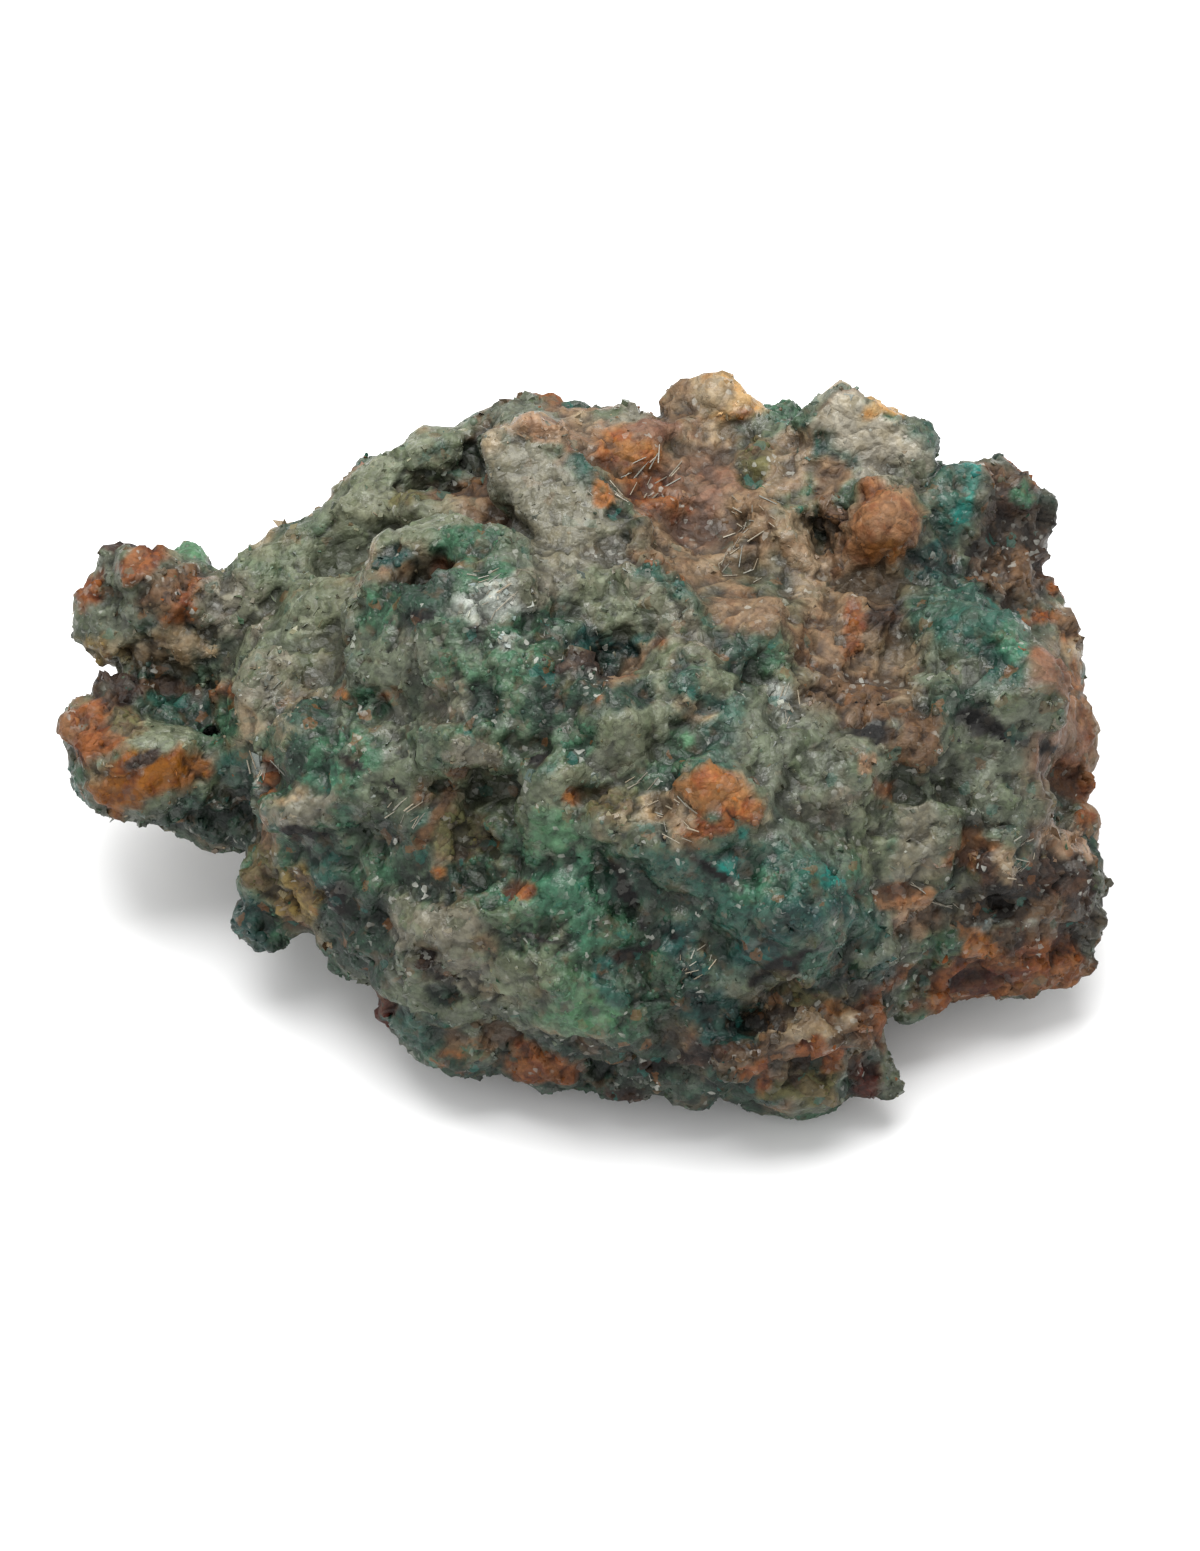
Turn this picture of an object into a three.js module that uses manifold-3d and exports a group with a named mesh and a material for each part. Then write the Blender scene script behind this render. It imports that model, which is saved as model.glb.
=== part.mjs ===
// A hand specimen of malachite with gypsum: one intergrown lump of green copper ore, glassy gypsum
// blades and rusty iron oxide, lying on the small flat spot where it broke from its vein.
// Millimetres, +Z up. The origin is on the resting spot, and +Y points away from the eye.
import * as THREE from "three";
import { ImprovedNoise } from "three/addons/math/ImprovedNoise.js";
import { mergeVertices } from "three/addons/utils/BufferGeometryUtils.js";
import Module from "manifold-3d";

const wasm = await Module();
wasm.setup();
const noise = new ImprovedNoise();
const random = THREE.MathUtils.seededRandom;

// Driving dimensions
const EYE_ELEVATION = 50; // degrees above the table from which the best side is seen
const MIDDLE_HEIGHT = 18; // height of the point that the distances across and up the view start from
const REACH = 200; // longer than any line through the specimen needs to be
const FAR_OFF = 10; // from so far outside a stone its chips no longer matter
const FACET = 2.35; // spacing of the grid on which the surface is found
const SPACE = { min: [-50, -38, -6], max: [50, 40, 46] }; // the box in which it is looked for
const CRUST = [{ width: 8, height: 0.9 }, { width: 4.2, height: 0.7 }]; // the small bumps
const WELD = { masses: 3, stones: 0.6 }; // how softly neighbours have grown into each other
const BREAKS = { mass: 6, rim: 6, pit: 4, stone: 9 }; // flat chips lost by each stone
const CHIP_DEPTH = [0.74, 0.96]; // how far out a chip's face lies, as a share of the half size
const BEVEL = 0.16; // bevel of a gypsum blade, as a share of its thickness

// Masses that carry the rest: centre, and half sizes along X, Y and Z.
const MASSES = {
  heart: { at: [3, -1, 15.5], half: [31, 24, 17] },
  rest_pad: { at: [2, -1, 5], half: [17, 13, 8] },
  front_apron: { at: [7, -16, 12], half: [21, 12, 10] },
  toe: { at: [14, -22, 9], half: [12, 6, 6] },
  back_right: { at: [19, 15, 18.5], half: [20, 14, 12] },
  back_left: { at: [-4, 15, 18.5], half: [18, 14, 12] },
  back_ridge: { at: [9, 23.5, 24], half: [17, 6, 6] },
  left_ridge: { at: [-21, 8, 17], half: [10, 10, 9] },
  right_shoulder: { at: [30, 2, 15], half: [12, 18, 12] },
  right_foot: { at: [34, -10, 11], half: [9, 8, 8] },
  left_foot: { at: [-16.5, -9, 12], half: [9.5, 8.5, 8] },
  front_left: { at: [-8, -13.5, 11], half: [11.5, 9.5, 8] },
  upper_lobe: { at: [-36, 14, 19.5], half: [6, 5, 5] },
  lower_lobe: { at: [-36.5, -0.8, 16], half: [7, 4.4, 4.6] },
  lobe_neck: { at: [-32, 8, 14.5], half: [6, 5.5, 5] },
};

// Stones along the outline. "at" is how far across and up the view each lies, "height" its height
// above the table, "half" its half width and half height in the view and "turn" its lean in degrees.
const RIM = {
  saddle: { at: [-27.6, 13.8], height: 22.5, half: [3.4, 2.8], turn: 20 },
  saddle_top: { at: [-24.2, 16.6], height: 23.5, half: [3.4, 2.9], turn: 25 },
  green_shoulder: { at: [-18.8, 20.4], height: 25, half: [4.6, 3.8], turn: 45 },
  brown_crumble: { at: [-13.6, 23.9], height: 26.5, half: [4.2, 3.2], turn: 25 },
  back_knuckle: { at: [-8.0, 25.8], height: 27, half: [3.4, 2.6], turn: 0 },
  back_green_cap: { at: [-3.4, 25.8], height: 27.5, half: [3.0, 2.2], turn: 0 },
  back_slab: { at: [3.6, 25.6], height: 28, half: [8.0, 3.1], turn: 2 },
  peach_knob: { at: [12.0, 29.2], height: 29.5, half: [3.5, 3.1], turn: -25 },
  back_step: { at: [16.4, 26.4], height: 28, half: [3.4, 2.6], turn: -10 },
  pit_post: { at: [18.7, 28.2], height: 28, half: [1.2, 1.8], turn: 0 },
  slab_bed: { at: [24.4, 23.4], height: 26.5, half: [7.0, 4.2], turn: -30 },
  corner_bed: { at: [32.0, 21.4], height: 25, half: [3.6, 3.4], turn: 0 },
  rust_corner: { at: [36.9, 21.4], height: 24, half: [3.2, 4.0], turn: 35 },
  rust_corner_side: { at: [36.8, 15.8], height: 20, half: [2.9, 4.2], turn: 4 },
  right_rim: { at: [39.6, 8.4], height: 17, half: [3.6, 5.4], turn: 24 },
  right_belly: { at: [41.2, 0.8], height: 14, half: [3.2, 4.6], turn: 0 },
  right_bead: { at: [41.9, -7.4], height: 12, half: [2.5, 2.9], turn: 0 },
  dark_fist: { at: [39.8, -12.0], height: 10, half: [4.7, 4.2], turn: 0 },
  fist_heel: { at: [40.2, -17.2], height: 7, half: [3.6, 3.0], turn: 20 },
  rust_sole: { at: [34.4, -19.0], height: 6, half: [6.2, 2.9], turn: 6 },
  sole_end: { at: [28.6, -20.6], height: 7, half: [3.4, 2.8], turn: 30 },
  green_toe_end: { at: [24.7, -28.0], height: 4.5, half: [2.8, 2.5], turn: 0 },
  long_toe: { at: [17.4, -28.6], height: 4.5, half: [7.4, 3.1], turn: -4 },
  toe_gap: { at: [9.4, -27.2], height: 5.5, half: [4.2, 2.8], turn: 0 },
  dark_toe: { at: [3.6, -28.2], height: 4.5, half: [3.4, 2.4], turn: 10 },
  rust_toe: { at: [-3.0, -27.4], height: 5, half: [3.8, 2.4], turn: -25 },
  low_brown_lump: { at: [-8.8, -25.2], height: 6, half: [4.4, 2.7], turn: -10 },
  dark_heel: { at: [-13.8, -22.6], height: 7, half: [4.3, 3.2], turn: -35 },
  dark_flank: { at: [-19.2, -16.4], height: 8.5, half: [4.0, 3.2], turn: -40 },
  green_heel: { at: [-27.0, -15.2], height: 8.5, half: [2.9, 3.0], turn: -20 },
  yellow_knob: { at: [-25.4, -11.4], height: 11, half: [3.9, 4.1], turn: 0 },
  left_waist: { at: [-26.4, -6.6], height: 11.5, half: [3.2, 3.4], turn: 0 },
  left_under_lump: { at: [-32.0, -5.8], height: 10.5, half: [5.0, 3.2], turn: -14 },
  lower_lobe_orange: { at: [-38.9, -2.8], height: 13.5, half: [6.0, 3.4], turn: 6 },
  lower_lobe_crust: { at: [-40.3, 1.2], height: 16, half: [5.1, 3.6], turn: -10 },
  lower_lobe_knob: { at: [-38.6, 4.2], height: 17.5, half: [2.6, 2.1], turn: 0 },
  lobe_yellow_chin: { at: [-40.6, 8.9], height: 18, half: [3.2, 2.4], turn: 0 },
  lobe_grey_side: { at: [-41.0, 12.4], height: 19.5, half: [2.4, 3.0], turn: 0 },
  lobe_grey_top: { at: [-39.4, 16.0], height: 22, half: [3.3, 3.0], turn: 30 },
  lobe_green_cap: { at: [-34.4, 16.8], height: 22, half: [2.5, 2.5], turn: -30 },
};

// Swells of the side that faces the eye, laid out like the stones of the rim, but seated on what is
// seen there. "proud" is how far each stands out.
const SWELLS = {
  green_hill: { at: [-10, 7], half: [14, 11], turn: 20, proud: 3.6 },
  gypsum_rise: { at: [2.5, 16.5], half: [15, 6], turn: -50, proud: 3.2 },
  south_hill: { at: [1, -14], half: [15, 9], turn: 0, proud: 2.6 },
  east_hill: { at: [31, 1], half: [10, 11], turn: 0, proud: 2.2 },
  teal_hill: { at: [18, -11], half: [9, 8], turn: 0, proud: 2.0 },
};

// Lumps of the side that faces the eye, seated in the same way.
const LUMPS = {
  // left end and its two lobes
  lobe_rust: { at: [-37.4, 15.4], half: [2.8, 2.1], turn: 25, proud: 3.1 },
  lobe_brown_cheek: { at: [-34.4, 12.0], half: [3.6, 2.9], turn: 10, proud: 2.6 },
  lobe_olive_chin: { at: [-33.2, 8.4], half: [3.4, 2.1], turn: -20, proud: 1.6 },
  saddle_knob: { at: [-30.2, 10.6], half: [2.6, 2.4], turn: 0, proud: 2.3 },
  // left middle
  pale_nose: { at: [-26.7, 5.8], half: [2.9, 3.6], turn: -25, proud: 4.2 },
  sage_mound: { at: [-21.4, 11.2], half: [5.2, 3.4], turn: 15, proud: 3.1 },
  brow_ridge: { at: [-10.0, 19.4], half: [7.0, 2.5], turn: -6, proud: 3.9 },
  recess_wall: { at: [-15.0, 15.0], half: [2.8, 3.2], turn: 10, proud: 1.8 },
  white_cluster: { at: [-7.2, 12.2], half: [4.2, 2.6], turn: 12, proud: 3.9 },
  green_bulge: { at: [-6.4, 5.2], half: [5.6, 5.8], turn: 10, proud: 4.9 },
  green_bulge_lip: { at: [-9.0, 0.2], half: [4.6, 2.7], turn: -8, proud: 4.7 },
  grey_bridge: { at: [-15.8, 6.0], half: [4.6, 3.2], turn: 8, proud: 2.9 },
  green_step: { at: [-20.8, -0.4], half: [6.0, 3.6], turn: -12, proud: 3.1 },
  pale_tile: { at: [-23.2, -5.8], half: [3.4, 2.0], turn: 4, proud: 3.1 },
  left_cheek: { at: [-27.6, -0.6], half: [2.8, 4.0], turn: 0, proud: 2.1 },
  // lower left
  twig_of_rust: { at: [-12.2, -8.2], half: [2.0, 4.8], turn: -25, proud: 2.6 },
  pale_crystals: { at: [-11.4, -14.8], half: [4.8, 3.8], turn: 0, proud: 3.4 },
  dark_slope: { at: [-18.0, -11.4], half: [4.2, 3.4], turn: 20, proud: 2.3 },
  dark_apron: { at: [-13.4, -19.8], half: [4.4, 3.0], turn: -20, proud: 2.3 },
  // middle
  grey_dome: { at: [3.2, 1.0], half: [5.6, 4.8], turn: 35, proud: 3.9 },
  grey_dome_foot: { at: [-1.2, -4.8], half: [4.4, 3.2], turn: 20, proud: 2.3 },
  rust_block: { at: [11.4, -3.8], half: [4.6, 2.9], turn: -14, proud: 5.2 },
  rust_block_foot: { at: [9.8, -7.4], half: [4.2, 2.1], turn: 0, proud: 3.9 },
  bright_green: { at: [-0.6, -13.4], half: [5.6, 5.4], turn: 0, proud: 3.9 },
  teal_spill: { at: [1.6, -21.4], half: [5.8, 4.2], turn: 0, proud: 2.9 },
  teal_bank: { at: [16.8, -13.0], half: [6.6, 5.4], turn: 10, proud: 3.9 },
  brown_shelf: { at: [8.4, -19.4], half: [5.2, 3.0], turn: 14, proud: 2.3 },
  pink_instep: { at: [20.4, -23.6], half: [4.8, 3.1], turn: -8, proud: 2.9 },
  // right middle
  sage_slope: { at: [20.6, -2.0], half: [5.4, 5.4], turn: 0, proud: 2.6 },
  mauve_block: { at: [28.2, 0.0], half: [2.9, 3.7], turn: 12, proud: 3.4 },
  brown_ledge: { at: [24.6, 3.6], half: [3.8, 2.0], turn: -6, proud: 3.6 },
  tan_ridge: { at: [17.8, 15.4], half: [2.9, 9.6], turn: 24, proud: 2.9 },
  rust_column: { at: [23.0, 10.0], half: [2.3, 3.8], turn: -6, proud: 2.3 },
  orange_boulder: { at: [25.3, 18.6], half: [4.3, 4.5], turn: 15, proud: 4.7 },
  teal_band: { at: [33.6, 9.4], half: [5.4, 3.8], turn: -20, proud: 2.6 },
  tan_eave: { at: [37.4, 4.8], half: [4.6, 3.8], turn: -30, proud: 3.9 },
  grey_apron: { at: [34.0, -4.6], half: [5.8, 4.8], turn: 0, proud: 2.6 },
  // upper right
  orange_knob: { at: [4.2, 24.2], half: [3.2, 2.5], turn: -10, proud: 3.1 },
  brown_knob: { at: [7.4, 21.0], half: [2.6, 2.0], turn: 0, proud: 2.1 },
  teal_knob: { at: [31.9, 20.4], half: [2.8, 4.6], turn: -6, proud: 3.4 },
  // lower right
  rusty_warts: { at: [34.8, -10.2], half: [3.0, 2.8], turn: 0, proud: 3.1 },
  pink_lump: { at: [28.8, -15.6], half: [3.8, 2.8], turn: 10, proud: 3.1 },
  teal_gully: { at: [24.0, -17.4], half: [3.2, 3.2], turn: 0, proud: 1.6 },
};

// Dark hollows that the eye looks into, seated in the same way.
const PITS = {
  under_brow: { at: [-13.0, 14.6], half: [3.2, 2.2], turn: 14, deep: 2.2 },
  under_bulge: { at: [-9.6, -3.8], half: [5.8, 1.8], turn: -6, deep: 3.8 },
  green_cave: { at: [0.8, 6.9], half: [3.6, 1.2], turn: -6, deep: 2.6 },
  crevice: { at: [36.2, 0.4], half: [4.4, 1.5], turn: -20, deep: 4.2 },
  boulder_cleft: { at: [20.8, 17.0], half: [1.2, 3.8], turn: 12, deep: 3.2 },
  boulder_shade: { at: [24.4, 13.4], half: [3.2, 1.2], turn: 6, deep: 2.8 },
  ledge_shade: { at: [24.6, 0.8], half: [2.6, 1.2], turn: 0, deep: 2.6 },
  block_shade: { at: [10.6, -10.0], half: [4.4, 1.3], turn: 6, deep: 2.8 },
  teal_gap: { at: [6.0, -16.4], half: [3.8, 1.4], turn: 30, deep: 3.0 },
  low_gap: { at: [13.0, -22.8], half: [6.4, 1.4], turn: 22, deep: 3.2 },
  fist_hollow: { at: [34.8, -14.2], half: [2.8, 1.5], turn: -20, deep: 3.2 },
  lobe_notch: { at: [-34.6, 5.4], half: [4.4, 1.4], turn: -6, deep: 4.0 },
};

// Flat-faced gypsum blades: length, width and thickness, "turn" of the length from across the view.
const BLADES = {
  grey_slab: { at: [24.4, 25.7], size: [12.6, 8.2, 4.4], turn: -36, lean: [6, 8], proud: 1.6 },
  slab_chip: { at: [25.8, 26.6], size: [4.4, 2.6, 2.6], turn: -20, lean: [0, 0], proud: 1.6 },
  long_slab: { at: [-1.2, 20.2], size: [19.0, 8.2, 5.0], turn: -50, lean: [-10, -17], proud: 1.9 },
  sharp_blade: { at: [8.6, 10.0], size: [14.6, 4.8, 4.4], turn: -50, lean: [12, -6], proud: 2.4 },
  glassy_tip: { at: [10.6, 5.2], size: [6.8, 4.4, 3.4], turn: -35, lean: [-12, 4], proud: 1.8 },
  tan_blade: { at: [28.2, -8.8], size: [10.4, 6.0, 3.6], turn: 70, lean: [0, -10], proud: 1.4 },
  fishbone: { at: [12.4, 16.0], size: [9.6, 2.4, 2.4], turn: 44, lean: [8, 0], proud: 1.0 },
  white_fang: { at: [16.6, 4.4], size: [4.6, 2.2, 2.2], turn: 62, lean: [0, 10], proud: 1.1 },
};

// Small angular knobs strewn over the side that faces the eye and the side that faces away. "rim" is
// how square to the view a direction is where the outline is left as it is.
const KNOBS = { count: 330, half: [2.0, 4.6], proud: [0.7, 2.0], lowest: 4, rim: 0.3 };

const CELL = [0, 1, 2, 3, 4, 5, 6, 7]; // the points of a grid cell: bits 1, 2 and 4 step along X, Y and Z
const tilt = THREE.MathUtils.degToRad(90 - EYE_ELEVATION);
const eyeFrame = new THREE.Matrix4().makeRotationX(tilt).setPosition(0, 0, MIDDLE_HEIGHT);
const towardsEye = new THREE.Vector3(0, 0, 1).transformDirection(eyeFrame);

function between([low, high]) {
  return THREE.MathUtils.lerp(low, high, random());
}

function anyDirection() {
  const height = between([-1, 1]);
  const angle = between([0, 2 * Math.PI]);
  const across = Math.sqrt(1 - height ** 2);
  return new THREE.Vector3(across * Math.cos(angle), across * Math.sin(angle), height);
}

// Two distances as one, rounded where they are within a margin of each other.
function soften(first, second, margin) {
  const near = Math.max(margin - Math.abs(first - second), 0) / margin;
  return Math.min(first, second) - (near * near * margin) / 4;
}

// A stone is an ellipsoid that has lost flat chips to breaks. It is held as a function that gives how
// far outside it a place lies.
function stone(matrix, half, seed, breaks = BREAKS.stone) {
  random(seed);
  const chips = Array.from({ length: breaks }, () => {
    return { face: anyDirection(), depth: between(CHIP_DEPTH) };
  });
  const toStone = matrix.clone().invert();
  const size = new THREE.Vector3(...half);
  const longest = Math.max(...half);
  return (place) => {
    const at = place.clone().applyMatrix4(toStone);
    const length = Math.max(at.length(), 1e-6);
    if (length > 2 * longest + FAR_OFF) return length - longest;
    const radius = at.divide(size).length();
    const outsides = chips.map(({ face, depth }) => at.dot(face) - depth);
    return (Math.max(radius - 1, ...outsides) * length) / radius;
  };
}

// The stones of a heap as one shape.
function heapOf(stones, weld) {
  return (place) => stones.reduce((nearest, each) => soften(nearest, each(place), weld), REACH);
}

// The place on a shape that a straight line meets first.
function met(shape, from, direction) {
  const place = from.clone();
  for (let gone = 0; gone < REACH; ) {
    const step = Math.max(shape(place) * 0.7, 0.1);
    if (shape(place) < 0.05) return place;
    place.addScaledVector(direction, step);
    gone += step;
  }
  return null;
}

// The place that the eye sees at a distance across and up the view.
function seen(shape, [across, up]) {
  const from = new THREE.Vector3(across, up, REACH / 4).applyMatrix4(eyeFrame);
  const found = met(shape, from, towardsEye.clone().negate());
  if (!found) throw new Error(`nothing is seen at ${across}, ${up}`);
  return found;
}

// A frame at a place: sunk away from the eye, square to the view, turned in it and leaned.
function standing(place, turn, lean = [0, 0], sink = 0) {
  const [leanX, leanY] = lean.map(THREE.MathUtils.degToRad);
  const matrix = new THREE.Matrix4().makeTranslation(place.clone().addScaledVector(towardsEye, -sink));
  matrix.multiply(new THREE.Matrix4().makeRotationX(tilt));
  matrix.multiply(new THREE.Matrix4().makeRotationZ(THREE.MathUtils.degToRad(turn)));
  matrix.multiply(new THREE.Matrix4().makeRotationX(leanX));
  return matrix.multiply(new THREE.Matrix4().makeRotationY(leanY));
}

function massStones() {
  return Object.values(MASSES).map(({ at, half }, i) => {
    return stone(new THREE.Matrix4().makeTranslation(...at), half, 100 + i, BREAKS.mass);
  });
}

function rimStones() {
  return Object.values(RIM).map(({ at: [across, up], height, half: [wide, high], turn }, i) => {
    const place = new THREE.Vector3(across, up, 0).applyMatrix4(eyeFrame);
    place.addScaledVector(towardsEye, (height - place.z) / towardsEye.z);
    return stone(standing(place, turn), [wide, high, (wide + high) / 2], 200 + i, BREAKS.rim);
  });
}

function seatedStones(table, ground, seed) {
  return Object.values(table).map(({ at, half: [wide, high], turn, proud }, i) => {
    const deep = (wide + high) / 2;
    const place = standing(seen(ground, at), turn, [0, 0], deep - proud);
    return stone(place, [wide, high, deep], seed + i);
  });
}

function pitStones(ground) {
  return Object.values(PITS).map(({ at, half: [wide, high], turn, deep }, i) => {
    return stone(standing(seen(ground, at), turn), [wide, high, deep], 500 + i, BREAKS.pit);
  });
}

function knobStones(ground) {
  const middle = new THREE.Vector3(0, 0, MIDDLE_HEIGHT);
  const knobs = [];
  for (let i = 0; i < KNOBS.count; i++) {
    random(640 + 19 * i);
    const direction = anyDirection();
    if (Math.abs(direction.dot(towardsEye)) < KNOBS.rim) continue;
    const inwards = direction.clone().negate();
    const place = met(ground, middle.clone().addScaledVector(direction, REACH / 4), inwards);
    const half = [between(KNOBS.half), between(KNOBS.half), between(KNOBS.half)];
    place.addScaledVector(direction, between(KNOBS.proud) - Math.min(...half));
    if (place.z > KNOBS.lowest) knobs.push(stone(standing(place, between([0, 180])), half, 900 + i));
  }
  return knobs;
}

// Bumps and dents of the crust at a place.
function crust({ x, y, z }) {
  const bumps = CRUST.map(({ width, height }) => {
    return height * noise.noise(x / width, y / width, z / width);
  });
  return bumps.reduce((sum, bump) => sum + bump);
}

// The whole rough shape, with its pits and its crust.
function roughShape(stones, pits) {
  const [solid, hollow] = [heapOf(stones, WELD.stones), heapOf(pits, WELD.stones)];
  return (place) => Math.max(solid(place) - crust(place), -hollow(place));
}

// A place near the surface of a shape, moved onto it along the shape's steepest slope.
function settled(shape, place) {
  const probe = FACET / 20;
  const outside = shape(place);
  const slope = new THREE.Vector3().fromArray([0, 1, 2].map((axis) => {
    const beside = place.clone().setComponent(axis, place.getComponent(axis) + probe);
    return (shape(beside) - outside) / probe;
  }));
  const farthest = FACET / 3;
  const move = THREE.MathUtils.clamp(outside / Math.max(slope.length(), 0.3), -farthest, farthest);
  return place.addScaledVector(slope.normalize(), -move);
}

// Whether points of a grid cell all hang together along its edges.
function hangTogether(points) {
  const reached = new Set(points.slice(0, 1));
  for (const point of reached) {
    const beside = [1, 2, 4].map((bit) => point ^ bit);
    beside.filter((next) => points.includes(next)).forEach((next) => reached.add(next));
  }
  return reached.size === points.length;
}

// Takes points of a cell into the shape until the surface passes through the cell only once, so that
// no two sheets of it pinch together there.
function fillPinches(values, cell) {
  const inside = CELL.filter((point) => values[cell[point]] < 0);
  const outside = CELL.filter((point) => values[cell[point]] >= 0);
  if (hangTogether(inside) && hangTogether(outside)) return false;
  const least = Math.min(...outside.map((point) => values[cell[point]]));
  const nearest = outside.find((point) => values[cell[point]] === least);
  values[cell[nearest]] = -FACET / 10;
  fillPinches(values, cell);
  return true;
}

// A mesh on the surface of a shape: one corner in each grid cell that the surface passes through,
// midway between its crossings of the cell's edges, and one quad across each edge that it crosses.
function meshOf(shape, { min, max }) {
  const [nx, ny, nz] = min.map((low, axis) => Math.ceil((max[axis] - low) / FACET) + 1);
  const index = (i, j, k) => i + nx * (j + ny * k);
  const values = new Float32Array(nx * ny * nz);
  const corner = new THREE.Vector3(...min);
  const place = (i, j, k) => new THREE.Vector3(i, j, k).multiplyScalar(FACET).add(corner);
  const each = (visit) => values.forEach((_, point) => {
    visit(point % nx, Math.floor(point / nx) % ny, Math.floor(point / (nx * ny)));
  });
  each((i, j, k) => { values[index(i, j, k)] = shape(place(i, j, k)); });
  const cellPoints = (i, j, k) => CELL.map((point) => {
    return index(i + (point & 1), j + ((point >> 1) & 1), k + (point >> 2));
  });
  for (let pinches = 1; pinches > 0; ) {
    pinches = 0;
    each((i, j, k) => {
      const whole = i + 1 < nx && j + 1 < ny && k + 1 < nz;
      if (whole && fillPinches(values, cellPoints(i, j, k))) pinches += 1;
    });
  }

  const steps = [[1, 0, 0], [0, 1, 0], [0, 0, 1]];
  const cells = new Map();
  const quads = [];
  each((i, j, k) => {
    steps.forEach(([di, dj, dk], axis) => {
      if (i + di >= nx || j + dj >= ny || k + dk >= nz) return;
      const [near, far] = [values[index(i, j, k)], values[index(i + di, j + dj, k + dk)]];
      if (near < 0 === far < 0) return;
      const crossing = place(i, j, k).lerp(place(i + di, j + dj, k + dk), near / (near - far));
      const [u, v] = [steps[(axis + 1) % 3], steps[(axis + 2) % 3]];
      const around = [[0, 0], [1, 0], [1, 1], [0, 1]].map(([a, b]) => {
        return index(i - a * u[0] - b * v[0], j - a * u[1] - b * v[1], k - a * u[2] - b * v[2]);
      });
      for (const cell of around) {
        const found = cells.get(cell) ?? { sum: new THREE.Vector3(), count: 0, corner: cells.size };
        found.sum.add(crossing);
        found.count += 1;
        cells.set(cell, found);
      }
      quads.push(near < 0 ? around : around.reverse());
    });
  });

  const corners = [...cells.values()].flatMap(({ sum, count }) => {
    return settled(shape, sum.divideScalar(count)).toArray();
  });
  const triangles = quads.flatMap((quad) => {
    const [a, b, c, d] = quad.map((cell) => cells.get(cell).corner);
    return [a, b, c, a, c, d];
  });
  const geometry = new THREE.BufferGeometry();
  geometry.setAttribute("position", new THREE.Float32BufferAttribute(corners, 3));
  return geometry.setIndex(triangles);
}

// A gypsum blade lying flat, with slanting ends and narrow bevels.
function bladeGeometry([length, width, thickness]) {
  const bevel = thickness * BEVEL;
  const corners = [[-1, -0.5], [-0.62, -1], [0.8, -0.9], [1, 0.3], [0.66, 1], [-0.84, 0.8]];
  const half = new THREE.Vector2(length / 2 - bevel, width / 2 - bevel);
  const outline = new THREE.Shape(corners.map((corner) => new THREE.Vector2(...corner).multiply(half)));
  const depth = thickness - 2 * bevel;
  const options = { depth, bevelEnabled: true, bevelThickness: bevel, bevelSize: bevel, bevelSegments: 1 };
  return new THREE.ExtrudeGeometry(outline, options).translate(0, 0, -depth / 2);
}

// A closed geometry, placed by a matrix, as a solid that can be joined and cut.
function solidOf(geometry, matrix = new THREE.Matrix4()) {
  geometry.deleteAttribute("normal");
  geometry.deleteAttribute("uv");
  const merged = mergeVertices(geometry.applyMatrix4(matrix), 1e-4);
  const vertProperties = merged.getAttribute("position").array;
  const triVerts = new Uint32Array(merged.index.array);
  return new wasm.Manifold(new wasm.Mesh({ numProp: 3, vertProperties, triVerts }));
}

// The outer skin alone, so that no pocket stays sealed between the stones.
function filled(solid) {
  const [largest] = solid.decompose().sort((first, second) => second.volume() - first.volume());
  return largest;
}

function geometryOf(solid) {
  const { vertProperties, triVerts } = solid.getMesh();
  const geometry = new THREE.BufferGeometry();
  geometry.setAttribute("position", new THREE.BufferAttribute(vertProperties, 3));
  geometry.setIndex(new THREE.BufferAttribute(triVerts, 1));
  geometry.computeVertexNormals();
  return geometry;
}

function bladeSolids(ground) {
  return Object.values(BLADES).map(({ at, size, turn, lean, proud }) => {
    const sink = size[2] / 2 - proud;
    return solidOf(bladeGeometry(size), standing(seen(ground, at), turn, lean, sink));
  });
}

function specimenGeometry() {
  const base = heapOf(massStones(), WELD.masses);
  const rim = rimStones();
  const swells = seatedStones(SWELLS, heapOf([base, ...rim], WELD.stones), 300);
  const ground = heapOf([base, ...swells, ...rim], WELD.stones);
  const stones = [ground, ...seatedStones(LUMPS, ground, 400), ...knobStones(ground)];
  const body = meshOf(roughShape(stones, pitStones(ground)), SPACE);
  const skin = filled(solidOf(body));
  const whole = bladeSolids(ground).reduce((grown, blade) => grown.add(blade), skin);
  const below = new THREE.BoxGeometry(REACH, REACH, REACH).translate(0, 0, -REACH / 2);
  return geometryOf(whole.subtract(solidOf(below)));
}

const ore = new THREE.MeshStandardMaterial({ color: 0x5d7466, roughness: 0.7, metalness: 0 });
const specimen = new THREE.Mesh(specimenGeometry(), ore);
specimen.name = "specimen";

const part = new THREE.Group();
part.add(specimen);

export default part;
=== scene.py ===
# %% [markdown]
# # Malachite with gypsum
# The object is one hand specimen, about 90 mm across: green copper ore, glassy gypsum and rusty
# iron oxide that grew into each other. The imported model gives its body, and this lesson gives it the
# crust of small crystals that makes such a stone look crumbly and glassy at once.

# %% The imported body
import math

import bmesh
import bpy
import numpy as np
from mathutils import Matrix, Vector, noise


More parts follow.
